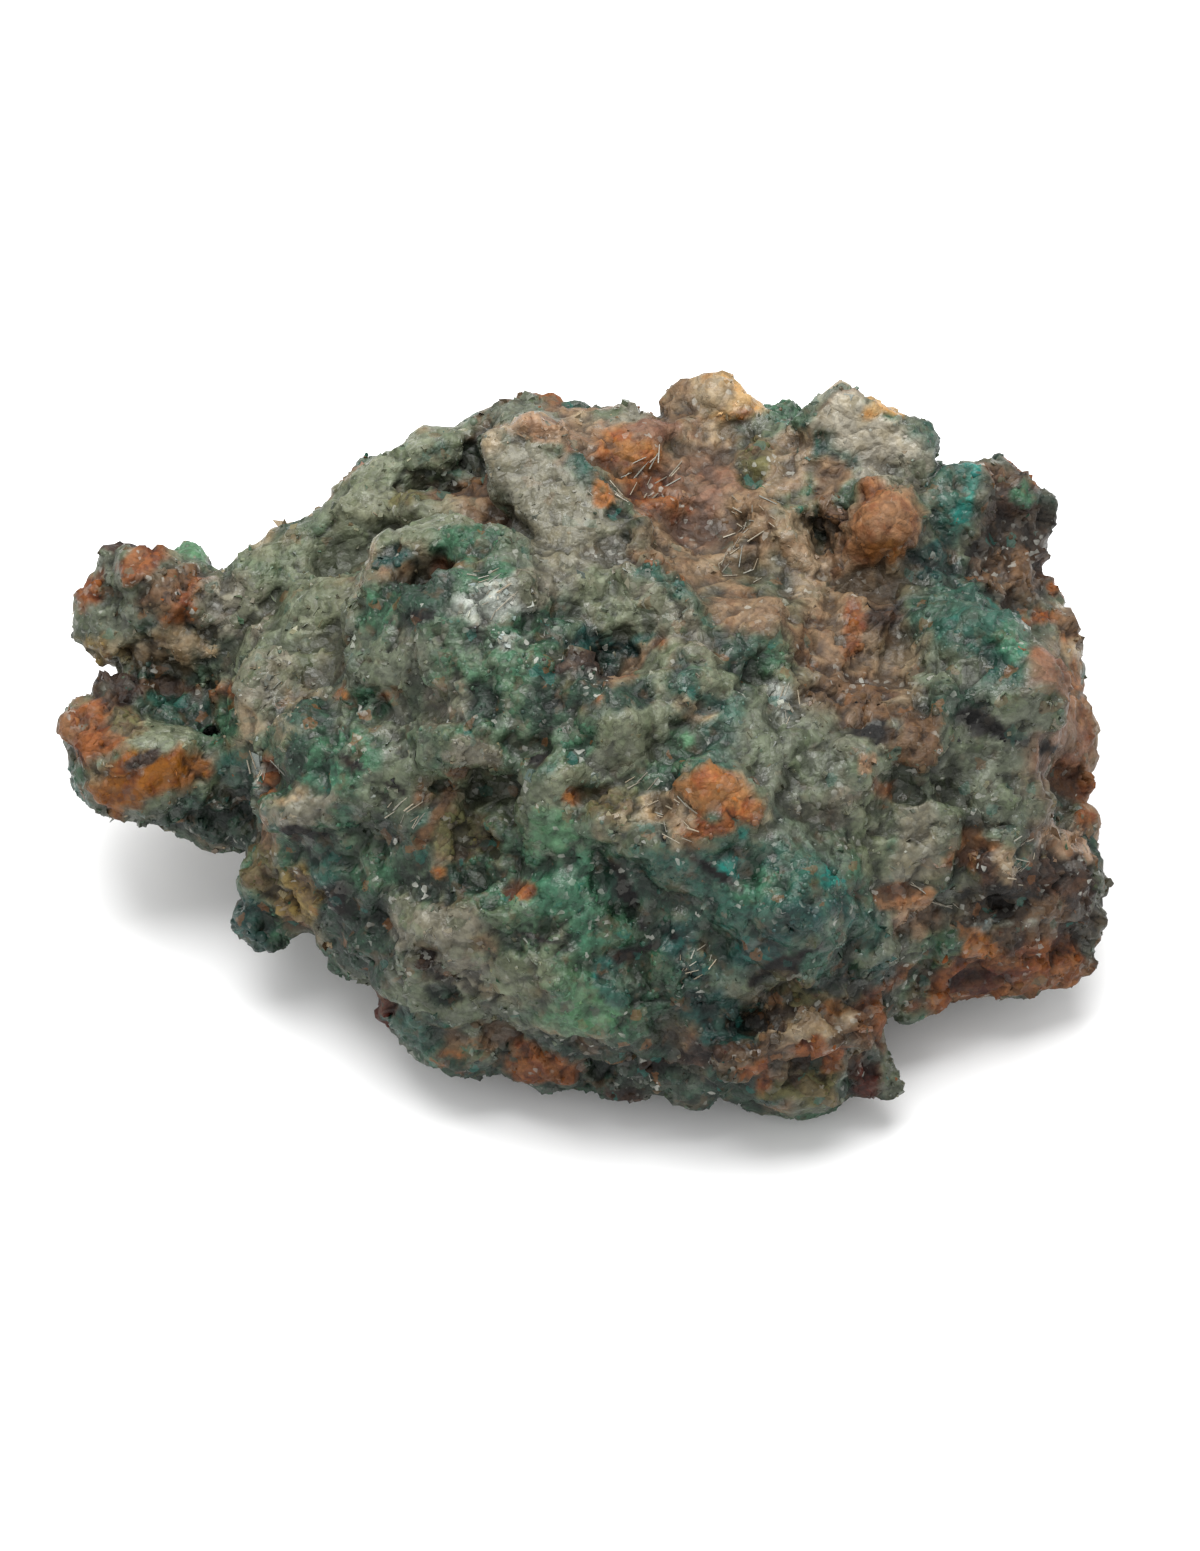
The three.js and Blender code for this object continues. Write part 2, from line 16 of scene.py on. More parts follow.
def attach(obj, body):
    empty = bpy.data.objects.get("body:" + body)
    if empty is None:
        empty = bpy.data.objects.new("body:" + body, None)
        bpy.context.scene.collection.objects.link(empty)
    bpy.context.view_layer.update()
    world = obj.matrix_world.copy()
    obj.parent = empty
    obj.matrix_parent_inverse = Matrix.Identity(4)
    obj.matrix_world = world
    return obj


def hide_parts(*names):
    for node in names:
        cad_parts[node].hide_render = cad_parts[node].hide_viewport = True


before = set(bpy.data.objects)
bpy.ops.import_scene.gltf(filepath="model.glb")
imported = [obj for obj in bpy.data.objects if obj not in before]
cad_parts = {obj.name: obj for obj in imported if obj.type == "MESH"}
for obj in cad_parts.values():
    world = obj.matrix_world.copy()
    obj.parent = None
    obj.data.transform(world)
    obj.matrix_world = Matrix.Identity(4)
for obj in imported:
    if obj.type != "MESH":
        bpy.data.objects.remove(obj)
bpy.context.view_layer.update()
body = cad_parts["specimen"]

# %% [markdown]
# ## Places on the stone
# The stone is described from where the eye sees it, 50 degrees above the table. A place is given by
# how far it lies across the view and up the view from the stone's middle, in millimetres. That is how
# a person with a ruler would note where each patch is, and it keeps the long lists below readable.

# %% Places on the stone
MM = 0.001  # Blender works in metres
EYE_ELEVATION = math.radians(50)
EYE_DISTANCE = 730.8  # mm from the eye to the middle
VIEW_CENTRE = (1.53, -2.50)  # the place in the middle of the picture
MIDDLE = np.array((0.0, 0.0, 18.0))
ACROSS = np.array((1.0, 0.0, 0.0))
TOWARDS_EYE = np.array((0.0, -math.cos(EYE_ELEVATION), math.sin(EYE_ELEVATION)))
UP_VIEW = np.cross(TOWARDS_EYE, ACROSS)


def seen_at(points):
    """Across, up and towards the eye for points in mm, as the eye sees them with its perspective."""
    from_middle = points - MIDDLE
    near = from_middle @ TOWARDS_EYE
    closer = EYE_DISTANCE / (EYE_DISTANCE - near)
    across = VIEW_CENTRE[0] + (from_middle @ ACROSS - VIEW_CENTRE[0]) * closer
    up = VIEW_CENTRE[1] + (from_middle @ UP_VIEW - VIEW_CENTRE[1]) * closer
    return np.stack([across, up, near], axis=1)


# %% [markdown]
# ## A finer body
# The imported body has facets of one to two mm, too coarse for a crust. Subdividing would keep its
# long thin triangles, and sculpting by hand can't be repeated. A voxel remesh of a copy gives even
# faces of about half a millimetre, which noise can then push in and out. The copy is merged first,
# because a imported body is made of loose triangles.

# %% A finer body
VOXEL = 0.47 * MM
ROUNDING = 3  # passes that take the edge off the facets

fine = bmesh.new()
fine.from_mesh(body.data)
bmesh.ops.remove_doubles(fine, verts=fine.verts, dist=0.001 * MM)
bmesh.ops.recalc_face_normals(fine, faces=fine.faces)
skin_mesh = bpy.data.meshes.new("ore_skin")
fine.to_mesh(skin_mesh)
fine.free()
skin = bpy.data.objects.new("ore_skin", skin_mesh)
bpy.context.scene.collection.objects.link(skin)
remesh = skin.modifiers.new("even_faces", "REMESH")
remesh.mode = "VOXEL"
remesh.voxel_size = VOXEL
evaluated = skin.evaluated_get(bpy.context.evaluated_depsgraph_get())
skin.data = bpy.data.meshes.new_from_object(evaluated)
skin.modifiers.clear()
print("skin:", len(skin.data.vertices), "vertices")


# %% Vertices as arrays
def read_out(items, name, width, kind):
    """One property of all vertices, edges or triangles, as the rows of an array."""
    numbers = np.empty(len(items) * width, kind)
    items.foreach_get(name, numbers)
    return numbers.reshape(-1, width)


def places_of(mesh):
    """Vertex places of a mesh, in mm."""
    return read_out(mesh.vertices, "co", 3, np.float32).astype(float) / MM


def normals_of(mesh):
    return read_out(mesh.vertex_normals, "vector", 3, np.float32).astype(float)


def move_to(mesh, places):
    mesh.vertices.foreach_set("co", (places * MM).astype(np.float32).ravel())
    mesh.update()


def averaged(values, edges, passes):
    """Values at vertices, each replaced by the mean of its neighbours', several times over."""
    values = np.array(values, float).reshape(len(values), -1)
    neighbours = np.bincount(edges.ravel(), minlength=len(values))[:, None]
    for _ in range(passes):
        total = np.zeros_like(values)
        for column in range(values.shape[1]):
            total[:, column] = np.bincount(edges[:, 0], values[edges[:, 1], column], len(values))
            total[:, column] += np.bincount(edges[:, 1], values[edges[:, 0], column], len(values))
        values = 0.5 * values + 0.5 * total / neighbours
    return values


edges = read_out(skin.data.edges, "vertices", 2, np.int64)
move_to(skin.data, averaged(places_of(skin.data), edges, ROUNDING))
print("rounded; area", round(sum(face.area for face in skin.data.polygons) / MM**2), "mm2")

# %% [markdown]
# ## What the stone is made of
# Each mineral has a colour, a roughness, and a kind that says which crystals grow on it: gypsum is
# grey or tan and glassy, the copper minerals are green to turquoise and silky, and the iron oxides
# are orange to dark brown and dull. A row of the table has the mineral's name, its red, green and
# blue as a paint chart gives them for dry stone in soft daylight, its roughness, its coarseness and
# its kind, and then the minerals that are mixed in, where they aren't the usual ones of the kind.

# %% What the stone is made of
KINDS = ("gypsum", "copper", "iron")
USUAL_COMPANY = {  # for each kind, the minerals that are mixed in, grain by grain
    "gypsum": ("green", "sage", "olive"),
    "copper": ("dark_green", "grey", "sage"),
    "iron": ("dark_brown", "tan", "brown"),
}
# The last row is no mineral: it is painted shade, a near black for cracks, seams and gaps where shade
# falls.
# The pale sage second row is painted light, for hollows that the body already shades.
MINERAL_TABLE = """
sage 117 122 100 0.45 0.45 gypsum
pale_sage 140 146 124 0.45 0.4 gypsum
sage_grey 102 107 91 0.45 0.5 gypsum
pale_green 96 136 102 0.5 0.6 copper
green 64 102 76 0.45 1 copper
bright_green 70 116 90 0.45 0.9 copper green dark_green teal
dark_green 44 64 50 0.5 1 copper green black dark_teal
teal 48 86 73 0.42 0.8 copper dark_teal green grey
dark_teal 34 70 64 0.45 0.9 copper black teal dark_green
turquoise 34 124 112 0.42 0.8 copper
grey 126 122 106 0.42 0.55 gypsum
selenite 126 123 107 0.36 0.3 gypsum grey sage pale_tan
pale_selenite 174 167 150 0.36 0.15 gypsum grey pale_tan selenite
ash 88 92 78 0.5 0.7 gypsum
tan 147 127 103 0.42 0.45 gypsum brown_tan pale_tan sage
pale_tan 166 148 120 0.4 0.35 gypsum tan grey pink
white 164 169 160 0.3 1 gypsum grey pale_tan sage
pink 160 132 106 0.45 0.6 gypsum tan brown pale_tan
peach 196 160 110 0.45 0.4 gypsum pale_tan yellow tan
olive 102 98 64 0.6 1 iron
yellow 148 127 77 0.6 0.9 iron
brown_tan 136 112 86 0.6 0.45 iron tan brown mauve
brown 102 76 52 0.6 0.9 iron
mauve 130 98 78 0.6 0.3 iron brown pink dark_brown
orange 156 101 54 0.6 0.55 iron clay rust yellow
amber 132 80 18 0.6 0.5 iron rust orange brown
rust 132 78 40 0.62 0.8 iron clay brown orange
clay 144 101 66 0.66 0.45 iron rust brown_tan tan
dark_red 84 38 26 0.65 0.8 iron black dark_brown rust
dark_brown 56 42 32 0.6 1 iron black brown dark_red
black 40 39 32 0.6 1 iron
void 18 17 15 0.7 0.4 iron black dark_brown black
"""
EXPOSURE = 0.48  # the sheet under the stone is lit past white, so each colour is a share darker
VIVID = 0.06  # how far each colour is moved away from grey, against the paling by reflected light
DARKEST = 0.002  # share of the light that even the blackest mineral sends back


def light_of(chart):
    """A paint chart's sRGB colour as the amounts of light that Blender's nodes take, more vivid."""
    share = np.array(chart, float) / 255
    light = np.where(share <= 0.04045, share / 12.92, ((share + 0.055) / 1.055) ** 2.4)
    return EXPOSURE * np.clip(light + VIVID * (light - light.mean()), DARKEST, 1)


def words_of(table):
    return [line.split() for line in table.strip().splitlines()]


MINERALS = {  # light, roughness, coarseness, kind and company
    name: (light_of(chart), float(rough), float(coarse), kind, company or USUAL_COMPANY[kind])
    for name, *chart, rough, coarse, kind, company in (
        (*row[:7], row[7:]) for row in words_of(MINERAL_TABLE))
}
print(len(MINERALS), "minerals; white as light:", MINERALS["white"][0].round(2))

# %% [markdown]
# ## Where each mineral lies
# A mineral map could be painted by hand in Blender, but a painted map is a picture file, and it would
# say nothing about the stone. Lists of named patches do. A row has the patch's name, its mineral, its
# place across and up the view, its half width and half height in mm and, if it leans, by how many
# degrees. Wide grounds come first, and later patches lie on earlier ones.

# %% Where each mineral lies
def listed(table):
    """The patches of a table by name: mineral, across, up, half width, half height and lean."""
    upright = ["0"]
    return {
        name: (mineral, *map(float, (numbers + upright)[:5]))
        for name, mineral, *numbers in words_of(table)
    }


GROUNDS = listed("""
left_sage sage -24 12 9 8
top_left_green sage -16 20 8 5 35
middle_left_grey sage_grey -17 2 11 9
green_country green -8 6 9 10
low_left dark_green -18 -13 10 8 -30
south green 0 -15 11 10
south_east teal 15 -13 11 8
east_sage sage_grey 20 -1 10 9
east sage_grey 33 -3 10 9
north brown_tan 10 19 9 10 20
north_east brown_tan 24 11 9 11
east_teal teal 33 12 8 8
east_rim mauve 41 3 4 12
corner dark_brown 37 18 5 8
south_corner dark_brown 38 -14 8 7
toes dark_green 2 -28 14 4
toe_country brown 17 -25 10 5
""")
# Painted light that lightens what the body shades: left_hollow, shoulder_hollow, lobe_olive in the gap
# between the lobes, and the patches on the pit under the green bulge and under the boulder.
# Patches of the near-black last mineral are painted shade in cracks, seams and gaps.
AREAS = {
    "the two lobes at the left": """
lobe_side sage_grey -40.1 13.2 4.4 6
lobe_shade dark_brown -38.6 17.8 2.8 1.6 20
lobe_rust rust -37.2 15.6 2.6 1.5 30
lobe_red_spot dark_red -35.9 17.4 1.3 1
lobe_cap pale_green -33.4 17.6 2.5 2.1 -40
lobe_cheek brown -33.6 13.2 4.2 3 10
lobe_cheek_rust rust -33 12.6 2.8 1.5 35
lobe_red_edge rust -42.1 13.4 1.2 1.8
lobe_chin yellow -40.9 8.1 3 1.4
lobe_olive pale_tan -34.8 7.9 3.8 2 -15
lobe_gap brown -34.2 4.8 4.2 0.8 -10
low_lobe_top sage -35.5 1.2 4.5 2.6
low_lobe_crust rust -41.2 1.8 4.2 3.4
low_lobe_pale clay -43.6 1.2 1.1 1.8 20
low_lobe_green olive -38.4 1.9 1.2 2.8 20
low_lobe_knob dark_brown -40.4 4.9 2.6 1.5
low_lobe_under amber -37.6 -3 6.8 2.3 14
low_lobe_shade dark_brown -36.4 -0.8 1.8 0.5 25
low_lobe_back dark_green -32.2 -6.4 5.4 3.4 -15
low_lobe_root green -30.2 1.4 3 2.2
""",
    "the left middle": """
nose grey -26.9 5.8 2.7 3.6 -28
nose_shadow dark_green -23.4 3 3.2 1.8 -15
left_green sage -21.9 14.6 2.6 2.4
shoulder sage -15.4 25 6.4 2.6 30
left_hollow pale_sage -19.6 16.8 3 2.2 20
shoulder_hollow pale_sage -13.6 23.8 3.4 1.8 10
saddle grey -29.4 12 3.4 3.2
crest_left sage_grey -5.6 28.8 3.4 1.6
crumble ash -10.6 22.6 4.6 2.4 10
crumble_dark brown -9.6 22 2.8 1.3
crumble_yellow olive -15 21.2 1.2 0.8
brow sage -13 19.2 7.4 2.6 4
brow_green green -8.8 17 4.2 1.8
recess dark_green -14.4 13.2 4.4 3.9 15
recess_teal dark_teal -15.8 16 2 1.6
slope sage_grey -15.6 7 4.6 2.4 10
slope_green green -18.2 3.6 3.4 1.6
step_green green -21.6 -1.2 5 3 -10
step_bright bright_green -22.8 -2.4 1.8 1.2
step_dark dark_green -24.6 -1 1.2 2.4
step_white white -27.2 -2.2 0.7 2.2 10
step_left green -26 -3 1.3 1.5
tile selenite -23.4 -5.7 3.1 1.6 4
tile_chip bright_green -20.1 -6.4 1.3 1.1
tile_shade void -22.6 -7.7 3 0.7
left_seam brown_tan -26.8 -7.6 1.4 2.6 10
""",
    "the green bulge and what surrounds it": """
long_slab selenite -2.6 20 10.4 4.4 -54
long_slab_grey grey 2.2 15 4.6 3.2 -54
long_slab_foot sage 3.4 11.6 4.4 2.6 -50
cluster white -7.7 12.3 4.4 2.2 12
cluster_grey grey -3.6 13.6 2.2 1.6
cluster_low white -6.4 8.6 1.5 1.1
bulge_bright green -5.4 7 2.4 2.2
bulge_dark dark_green -2.8 2.6 2.2 4.2 10
bulge_gleam dark_green -8.8 3.4 2.6 1.6
recess_side green -17 11.6 1.8 2.4
slope_seed orange -16.5 4.3 0.7 0.7
slope_seed_left orange -20.5 4.3 0.7 0.6
bulge_spark bright_green -5.8 6.4 1.4 1.2
bulge_gap dark_green -8.6 3.2 1.8 1
bulge_lip grey -9.2 -0.6 3 1.3 -20
bulge_shade sage -8.8 -3.9 3.4 2.2 -8
bulge_grey grey -12.2 3.2 2.2 3
cave_wall dark_teal 0.4 8.6 2.8 1.5
cave dark_brown 0.8 6.9 3 1 -10
blade grey 8.2 10.4 6.6 2 -52
blade_dark dark_teal 3.4 8.6 2.6 1.1 -20
blade_blue turquoise 5.2 9.2 1.1 0.7
blade_side sage 6.2 6.8 1.6 2.2 -30
tip_under dark_teal 9.4 3 2.4 0.8
tip teal 10.2 4.6 3.2 1.8 -30
tip_pale sage 11.6 5.4 1.8 1.3
""",
    "the middle": """
dome sage 4.2 1.4 5.4 3.6 30
dome_top dark_green 3.6 4.2 2.8 1.6 20
dome_brow dark_green 0.6 4.4 1.8 1.4
dome_green green -1.4 0 2.8 2.8
dome_edge sage -0.8 -3.2 3.2 2.4 20
green_chip pale_green 8.5 0.4 1.7 1 -12
low_knob olive 2.6 -4.3 3.4 1.5 12
low_knob_rust orange -0.6 -4.6 0.9 0.8
block orange 12 -4 4.2 2.7 -14
block_red rust 11.4 -7 3.6 1.2 8
block_white tan 7.6 -6 1.7 1.8 -30
block_grey ash 5.6 -8.2 2.8 1.8
sage_run sage_grey 17.2 -1 4.6 5
fang white 16.8 4.2 0.8 1.6 10
under_block teal 6.4 -10.6 5.4 2.2 10
spot bright_green -1.4 -12 3.4 3.2
spot_low bright_green 0.6 -16 2.4 2.2
spot_rust rust -5.2 -12.4 0.8 0.7
spot_pale pale_green -2.6 -7.4 2.6 2
twig brown -12.6 -6.4 0.8 3.2 -28
twig_side olive -10 -8 2.8 2.6
twig_dot orange -12.3 -10.6 1.4 1.2
pale_field grey -11.4 -15.2 3.6 1.8 -8
pale_field_low grey -9.6 -19.4 3 2 -20
pale_field_glass sage -6 -20 3.2 2.2
turquoise_drop turquoise 2.4 -18.8 1.5 2.2 -10
spill pale_green 0.4 -22.6 3.6 2.6
spill_teal teal 3 -20.6 2 2
bank teal 16.4 -12.6 5.6 4.6
bank_bright bright_green 14.6 -11.6 2.2 1.6
bank_blue_1 turquoise 12.9 -10.4 0.9 0.8
bank_blue_2 turquoise 13.6 -7.4 0.9 1.2
bank_blue_3 turquoise 21.8 -11.4 1.2 0.9
bank_blue_4 dark_teal 22.2 -13.6 3 1.2 15
bank_yellow olive 19.6 -11.6 0.6 0.5
bank_grey dark_teal 15.2 -17.4 2.4 1.2
bank_shade void 16.8 -18.6 5.2 0.6 33
bank_white white 8 -16.4 0.8 2.2 20
bank_shadow dark_teal 18.4 -14.8 3 1.8 20
shelf dark_teal 8.2 -16.2 2.8 1.6 20
shelf_green dark_teal 9.8 -18.6 1.8 1.2
gap void 4.8 -17.4 3.6 0.6 18
seam_dome void -3.6 -1.4 0.5 3 -16
seam_spot void 3.8 -12.4 0.5 3.4 24
seam_spot_low void -2.4 -16.6 3 0.4 -14
seam_bank void 9.8 -9.8 3.4 0.4 -34
seam_field dark_brown -13.6 -17.6 0.5 3 34
seam_step void -17.6 -2.6 3.8 0.4 -30
seam_brow void -11.6 10.6 3 0.4 -12
""",
    "the lower left": """
yellow_knob yellow -24.6 -12.6 2.6 3
yellow_knob_side olive -26.8 -10.4 1.6 2.6 10
heel dark_teal -28.4 -15.4 2 3 20
knob_shade void -20.8 -12.6 1 2.8 20
wedge_green green -18.6 -9.4 3.6 2.2 -30
wedge_teal teal -21.6 -10 1.6 1.6
wedge_grey grey -15.4 -15 2.2 2.8 20
flank dark_green -19.2 -18 3.6 3.6 -40
flank_red dark_red -17.6 -22 1 1.6 40
flank_glass sage_grey -14.8 -20.8 2.2 2.8 20
low_lump brown_tan -8.8 -24.6 3.2 1.4 -4
low_lump_glass sage_grey -9.8 -23 2.2 1.2
low_lump_under dark_green -9.6 -27.2 4.2 1.2 -10
""",
    "the toes": """
rust_toe rust -3.4 -27.4 3.9 1.9 -22
dark_toe dark_brown 2.8 -30 2.6 1.2
dark_toe_top dark_green 3.4 -27.6 2.6 1.4
toe_gap dark_brown 9.4 -26.4 5.2 1 12
toe_teal dark_teal 11.8 -22.8 3.6 2.2 -10
toe_green dark_green 14 -29.4 5.4 1.6
toe_olive olive 19 -29 3.4 1.6 -8
toe_rust rust 15.6 -27.8 2.4 0.9 10
instep pale_tan 19.2 -24 3.2 1.6 4
instep_rust rust 20.6 -26.2 2.4 1.1 -10
toe_red dark_red 24.2 -28.2 2 1.9
toe_end sage_grey 26.4 -28.2 1.2 2.2
instep_olive olive 18.8 -20.6 2.8 1.4
instep_teal teal 20.6 -19.8 1 1
instep_orange orange 21.2 -22.2 1 0.7
gully teal 24.2 -15.6 1.8 2.6
gully_shade dark_teal 26.4 -19.2 2.2 1.6
""",
    "the brown valley and the ridge beside it": """
back_edge grey 3.4 28.2 6 0.7 4
back_seam pink -3.4 26.8 3.4 0.8 -10
back_pink pink 0.6 26.4 2.2 1.6
orange_knob orange 4.3 25 3.1 2.6 -15
orange_seed orange 1.6 21.8 1.3 1 -40
valley mauve 10.2 20.4 4.8 4.4
valley_top mauve 7.6 27 3.4 1.4 12
valley_red rust 6.2 21.2 2.8 1.8 -40
valley_pink brown_tan 13.8 19.4 2.6 3.2 20
valley_low brown_tan 14 12.6 4 4.6
valley_bone tan 12.8 17 4.2 0.6 44
valley_seed orange 8.4 14.6 1 0.9
peach peach 12.4 29.4 3.4 2.6 -20
peach_pale pale_tan 10.6 29.8 1.8 1.7 -20
peach_orange orange 13.4 27.6 1.4 0.7 15
post dark_teal 18.4 27.2 0.9 1.8
ridge_top tan 17 24.2 2.4 4 -20
ridge_olive olive 14.8 24 1.3 2.4 -15
ridge tan 19 15.6 2.2 7.4 12
ridge_foot brown 19.8 8.8 2 3.4
slab pale_selenite 24.6 25.8 6 3.2 -36
slab_low grey 28.2 22.6 3.4 2.2 -40
chip peach 26 28.6 1.6 1
cleft brown 20.9 18.6 0.9 4.4 8
boulder_top brown_tan 21.2 23.4 1.6 1.6
boulder clay 25.4 18.6 4.2 4
boulder_rust orange 26.2 16.6 1.8 1.3
boulder_shade tan 24.6 13.9 3.4 0.8 6
column rust 22.8 10 1.1 3.2 -4
column_dark dark_brown 25.8 11.2 1.6 2.6
column_tan brown_tan 20.8 10.4 1.4 3.2
shards pale_tan 27.4 7.4 2.2 1.5 -20
""",
    "the upper right corner": """
teal_knob teal 31.8 21 2.5 4.4 4
teal_knob_blue turquoise 32.8 20.4 0.9 2.6
teal_knob_shade dark_teal 30.2 15.8 2.2 1.8
corner_tan brown 35.6 22.6 1.6 1.8
corner_red rust 38.6 23.4 2.6 0.9 -40
corner_dark dark_brown 36.8 20.8 1.8 2.2 -30
corner_green_1 green 37.4 21.6 0.9 1.1
corner_green_2 dark_green 40.2 20.6 1 2 15
corner_low brown 37 14.6 3 2.4
corner_edge rust 40.2 15.4 0.8 4.2
corner_band brown 41.8 11.2 1.4 3.4 10
band_green teal 31 10 2.6 2
band_bright bright_green 36.6 8.6 1.6 1.6
band_drop teal 33.9 7.2 1.7 1.5
band_rust rust 38.2 10.6 1.4 1
band_grey sage_grey 30.6 6.4 3 2
band_dark dark_green 31.2 3.6 2.6 1.6
""",
    "the right middle": """
ledge brown 22.8 4.8 3.6 2.4
ledge_rust brown 24.8 2.7 3.2 0.9 -4
ledge_shade void 25.2 1.1 2.8 0.6
mauve_block brown 28.6 0.2 2.3 3.4 8
block_speck clay 25.6 -3.4 1.2 0.9
block_pale pink 24.2 -1.6 0.8 1.2
crevice void 35.4 1.4 4 0.8 -22
eave sage_grey 38.8 2.8 2.6 2.4
rim_rust clay 41.6 6.4 1 2.8 10
tan_field grey 22.2 -4.8 3.4 2 12
apron_sage sage_grey 33.6 -3.4 4.4 3.4
apron_teal ash 34 -6.8 2.6 1.6
tan_blade selenite 28 -8.8 2.2 4.4 -18
tan_blade_side sage 24.6 -8 2.2 3.2
""",
    "the lower right corner": """
warts clay 33.6 -9.2 2.4 1.8
warts_rust dark_brown 34.2 -10.6 0.9 1.6
warts_pale tan 36.4 -9.8 1 1.8
bead_glass grey 40.8 -5.4 1.4 1.6
bead_rust rust 43.6 -5.6 1 1.3
bead pink 41.4 -8.4 3 1.9
fist dark_brown 41 -12 4.6 3.4
fist_black void 36.4 -12.8 3.4 0.8 -12
fist_low brown 39.4 -15 3.2 1.8
fist_glass white 36.4 -15 2 1
sole rust 34.6 -19.4 7.4 2.8 10
sole_orange orange 34 -17.2 3 0.9 -10
sole_end rust 40.4 -19 2.6 2.6
sole_dark dark_red 35 -19.8 3.4 1 10
pink_lump pink 28.6 -14.6 2.8 2.4
pink_lump_rust clay 28 -12.8 2.8 1
pink_lump_low sage_grey 27.4 -17.6 2.4 1.6
""",
}
PATCHES = {name: patch for table in AREAS.values() for name, patch in listed(table).items()}
print(len(GROUNDS), "grounds and", len(PATCHES), "patches")

# %% [markdown]
# ## The mineral of every point
# No two grains of such a stone break along a clean line, so each patch's edge is made ragged with
# noise before it is laid on. The sides that the eye doesn't see get the same minerals in the same
# proportions from slow noise: the stone has no plain side.

# %% The mineral of every point
GROUND_DEPTH, PATCH_DEPTH = 13, 3.4  # mm that a ground or a patch reaches behind what is seen
GROUND_EDGE, PATCH_EDGE = 0.5, 0.35  # how softly they end, as a share of their half size
GROUND_STRENGTH = 0.9  # the rest shows what is under a ground
OVERREACH = 1.1  # patches touch, so each reaches a little past its half size
RAGGED = ((1.1, 3.1, 3), (0.8, 1.3, 4))  # strength, size in mm and seed of the noise on the edges
UNSEEN = (  # mineral, size of its fields in mm, seed, sharpness of their edges and rarity
    ("green", 9, 1, 4, 0.0),
    ("brown_tan", 15, 2, 5, 0.3),
    ("rust", 6, 5, 6, 1.6),
    ("teal", 7, 6, 6, 1.4),
    ("dark_green", 5, 7, 5, 1.0),
    ("pale_tan", 6, 8, 6, 1.8),
)
NOISE_STEP = (17.3, 5.1, 9.7)  # how far each seed moves a pattern
COLOUR, ROUGH, COARSE = slice(0, 3), 3, 4  # the columns of a row, as recipe_of makes it
KIND_SHARES, COMPANY = slice(5, 8), slice(8, None)


def noise_at(points, size, seed):
    """Smooth noise from -1 to 1 with bumps of a size in mm, at each point."""
    shift = Vector([seed * step for step in NOISE_STEP])
    return np.array([noise.noise(Vector(point) / size + shift) for point in points])


def blend(under, over, share):
    return under + (over - under) * share[:, None]


def recipe_of(name):
    """A mineral as one row: colour, roughness, coarseness, kind, and its companions' colours."""
    light, rough, coarse, kind, company = MINERALS[name]
    kinds = [float(kind == each) for each in KINDS]
    mixed_in = np.concatenate([MINERALS[each][0] for each in company])
    return np.array([*light, rough, coarse, *kinds, *mixed_in])


def patch_share(view, ragged, patch, depth, softness):
    """How much of each point a patch covers, from 0 to 1."""
    _, across, up, wide, high, turn = patch
    offset = view[:, :2] - (across, up)
    nearest = np.argsort((offset**2).sum(axis=1))[:12]  # a dozen points tell its depth
    lean = math.radians(turn)
    along = offset[:, 0] * math.cos(lean) + offset[:, 1] * math.sin(lean)
    aside = offset[:, 1] * math.cos(lean) - offset[:, 0] * math.sin(lean)
    behind = (view[:, 2] - view[nearest, 2].max()) / (depth + max(wide, high) / 2)
    far = np.sqrt((along / wide) ** 2 + (aside / high) ** 2 + behind**2)
    reach = ragged / np.clip(min(wide, high), 1.0, 4.0)
    return np.clip((OVERREACH + reach - far) / softness, 0, 1)


def minerals_at(points):
    """The row of mixed minerals at each point in mm."""
    view = seen_at(points)
    ragged = sum(strength * noise_at(points, size, seed) for strength, size, seed in RAGGED)
    rows = np.tile(recipe_of("sage_grey"), (len(points), 1))
    for name, size, seed, sharpness, rarity in UNSEEN:
        field = noise_at(points, size, seed) * sharpness - rarity
        rows = blend(rows, recipe_of(name), np.clip(field, 0, 1))
    for patch in GROUNDS.values():
        share = GROUND_STRENGTH * patch_share(view, ragged, patch, GROUND_DEPTH, GROUND_EDGE)
        rows = blend(rows, recipe_of(patch[0]), share)
    for patch in PATCHES.values():
        share = patch_share(view, ragged, patch, PATCH_DEPTH, PATCH_EDGE)
        rows = blend(rows, recipe_of(patch[0]), share)
    return rows


rounded = places_of(skin.data)
rows = minerals_at(rounded)
print("shares of the surface:", dict(zip(KINDS, rows[:, KIND_SHARES].mean(axis=0).round(2))))

# %% [markdown]
# ## The relief of the crust
# Three reliefs lie over the body. Gypsum and the iron oxides break into blocks: each cell of a
# Voronoi pattern is one flat face, tilted its own way. Malachite grows as small grape-like bumps, so
# there each cell is a dome. Fine noise roughens both. A Displace modifier could do the noise, but not
# the tilted faces, so the vertices are moved along their normals in one go.

# %% The relief of the crust
BLOCKS = ((5.6, 0.36, 0.18), (3.2, 0.30, 0.30), (1.9, 0.192, 0.30))  # size and step in mm, tilt
GRAPES = ((4.4, 0.90), (2.6, 1.00), (1.5, 0.60))  # size and height of the domes
DOME = 0.45  # share of a dome's size from its middle to where it meets the body
UNLIKE = 0.4  # how far domes differ in height
SHARED = 0.4  # how much of the domes gypsum and iron oxide get, and of the blocks malachite
CRUMBS = ((1.4, 0.20), (0.8, 0.08))  # size and height of the fine noise
FLAT_FOOT = 0.5  # mm above the table that stay as packed
EASE = 1.5  # mm above the foot in which the relief grows to its full height
CELL_STEP = (3.7, 11.9, 7.3)  # how far each seed moves the cells


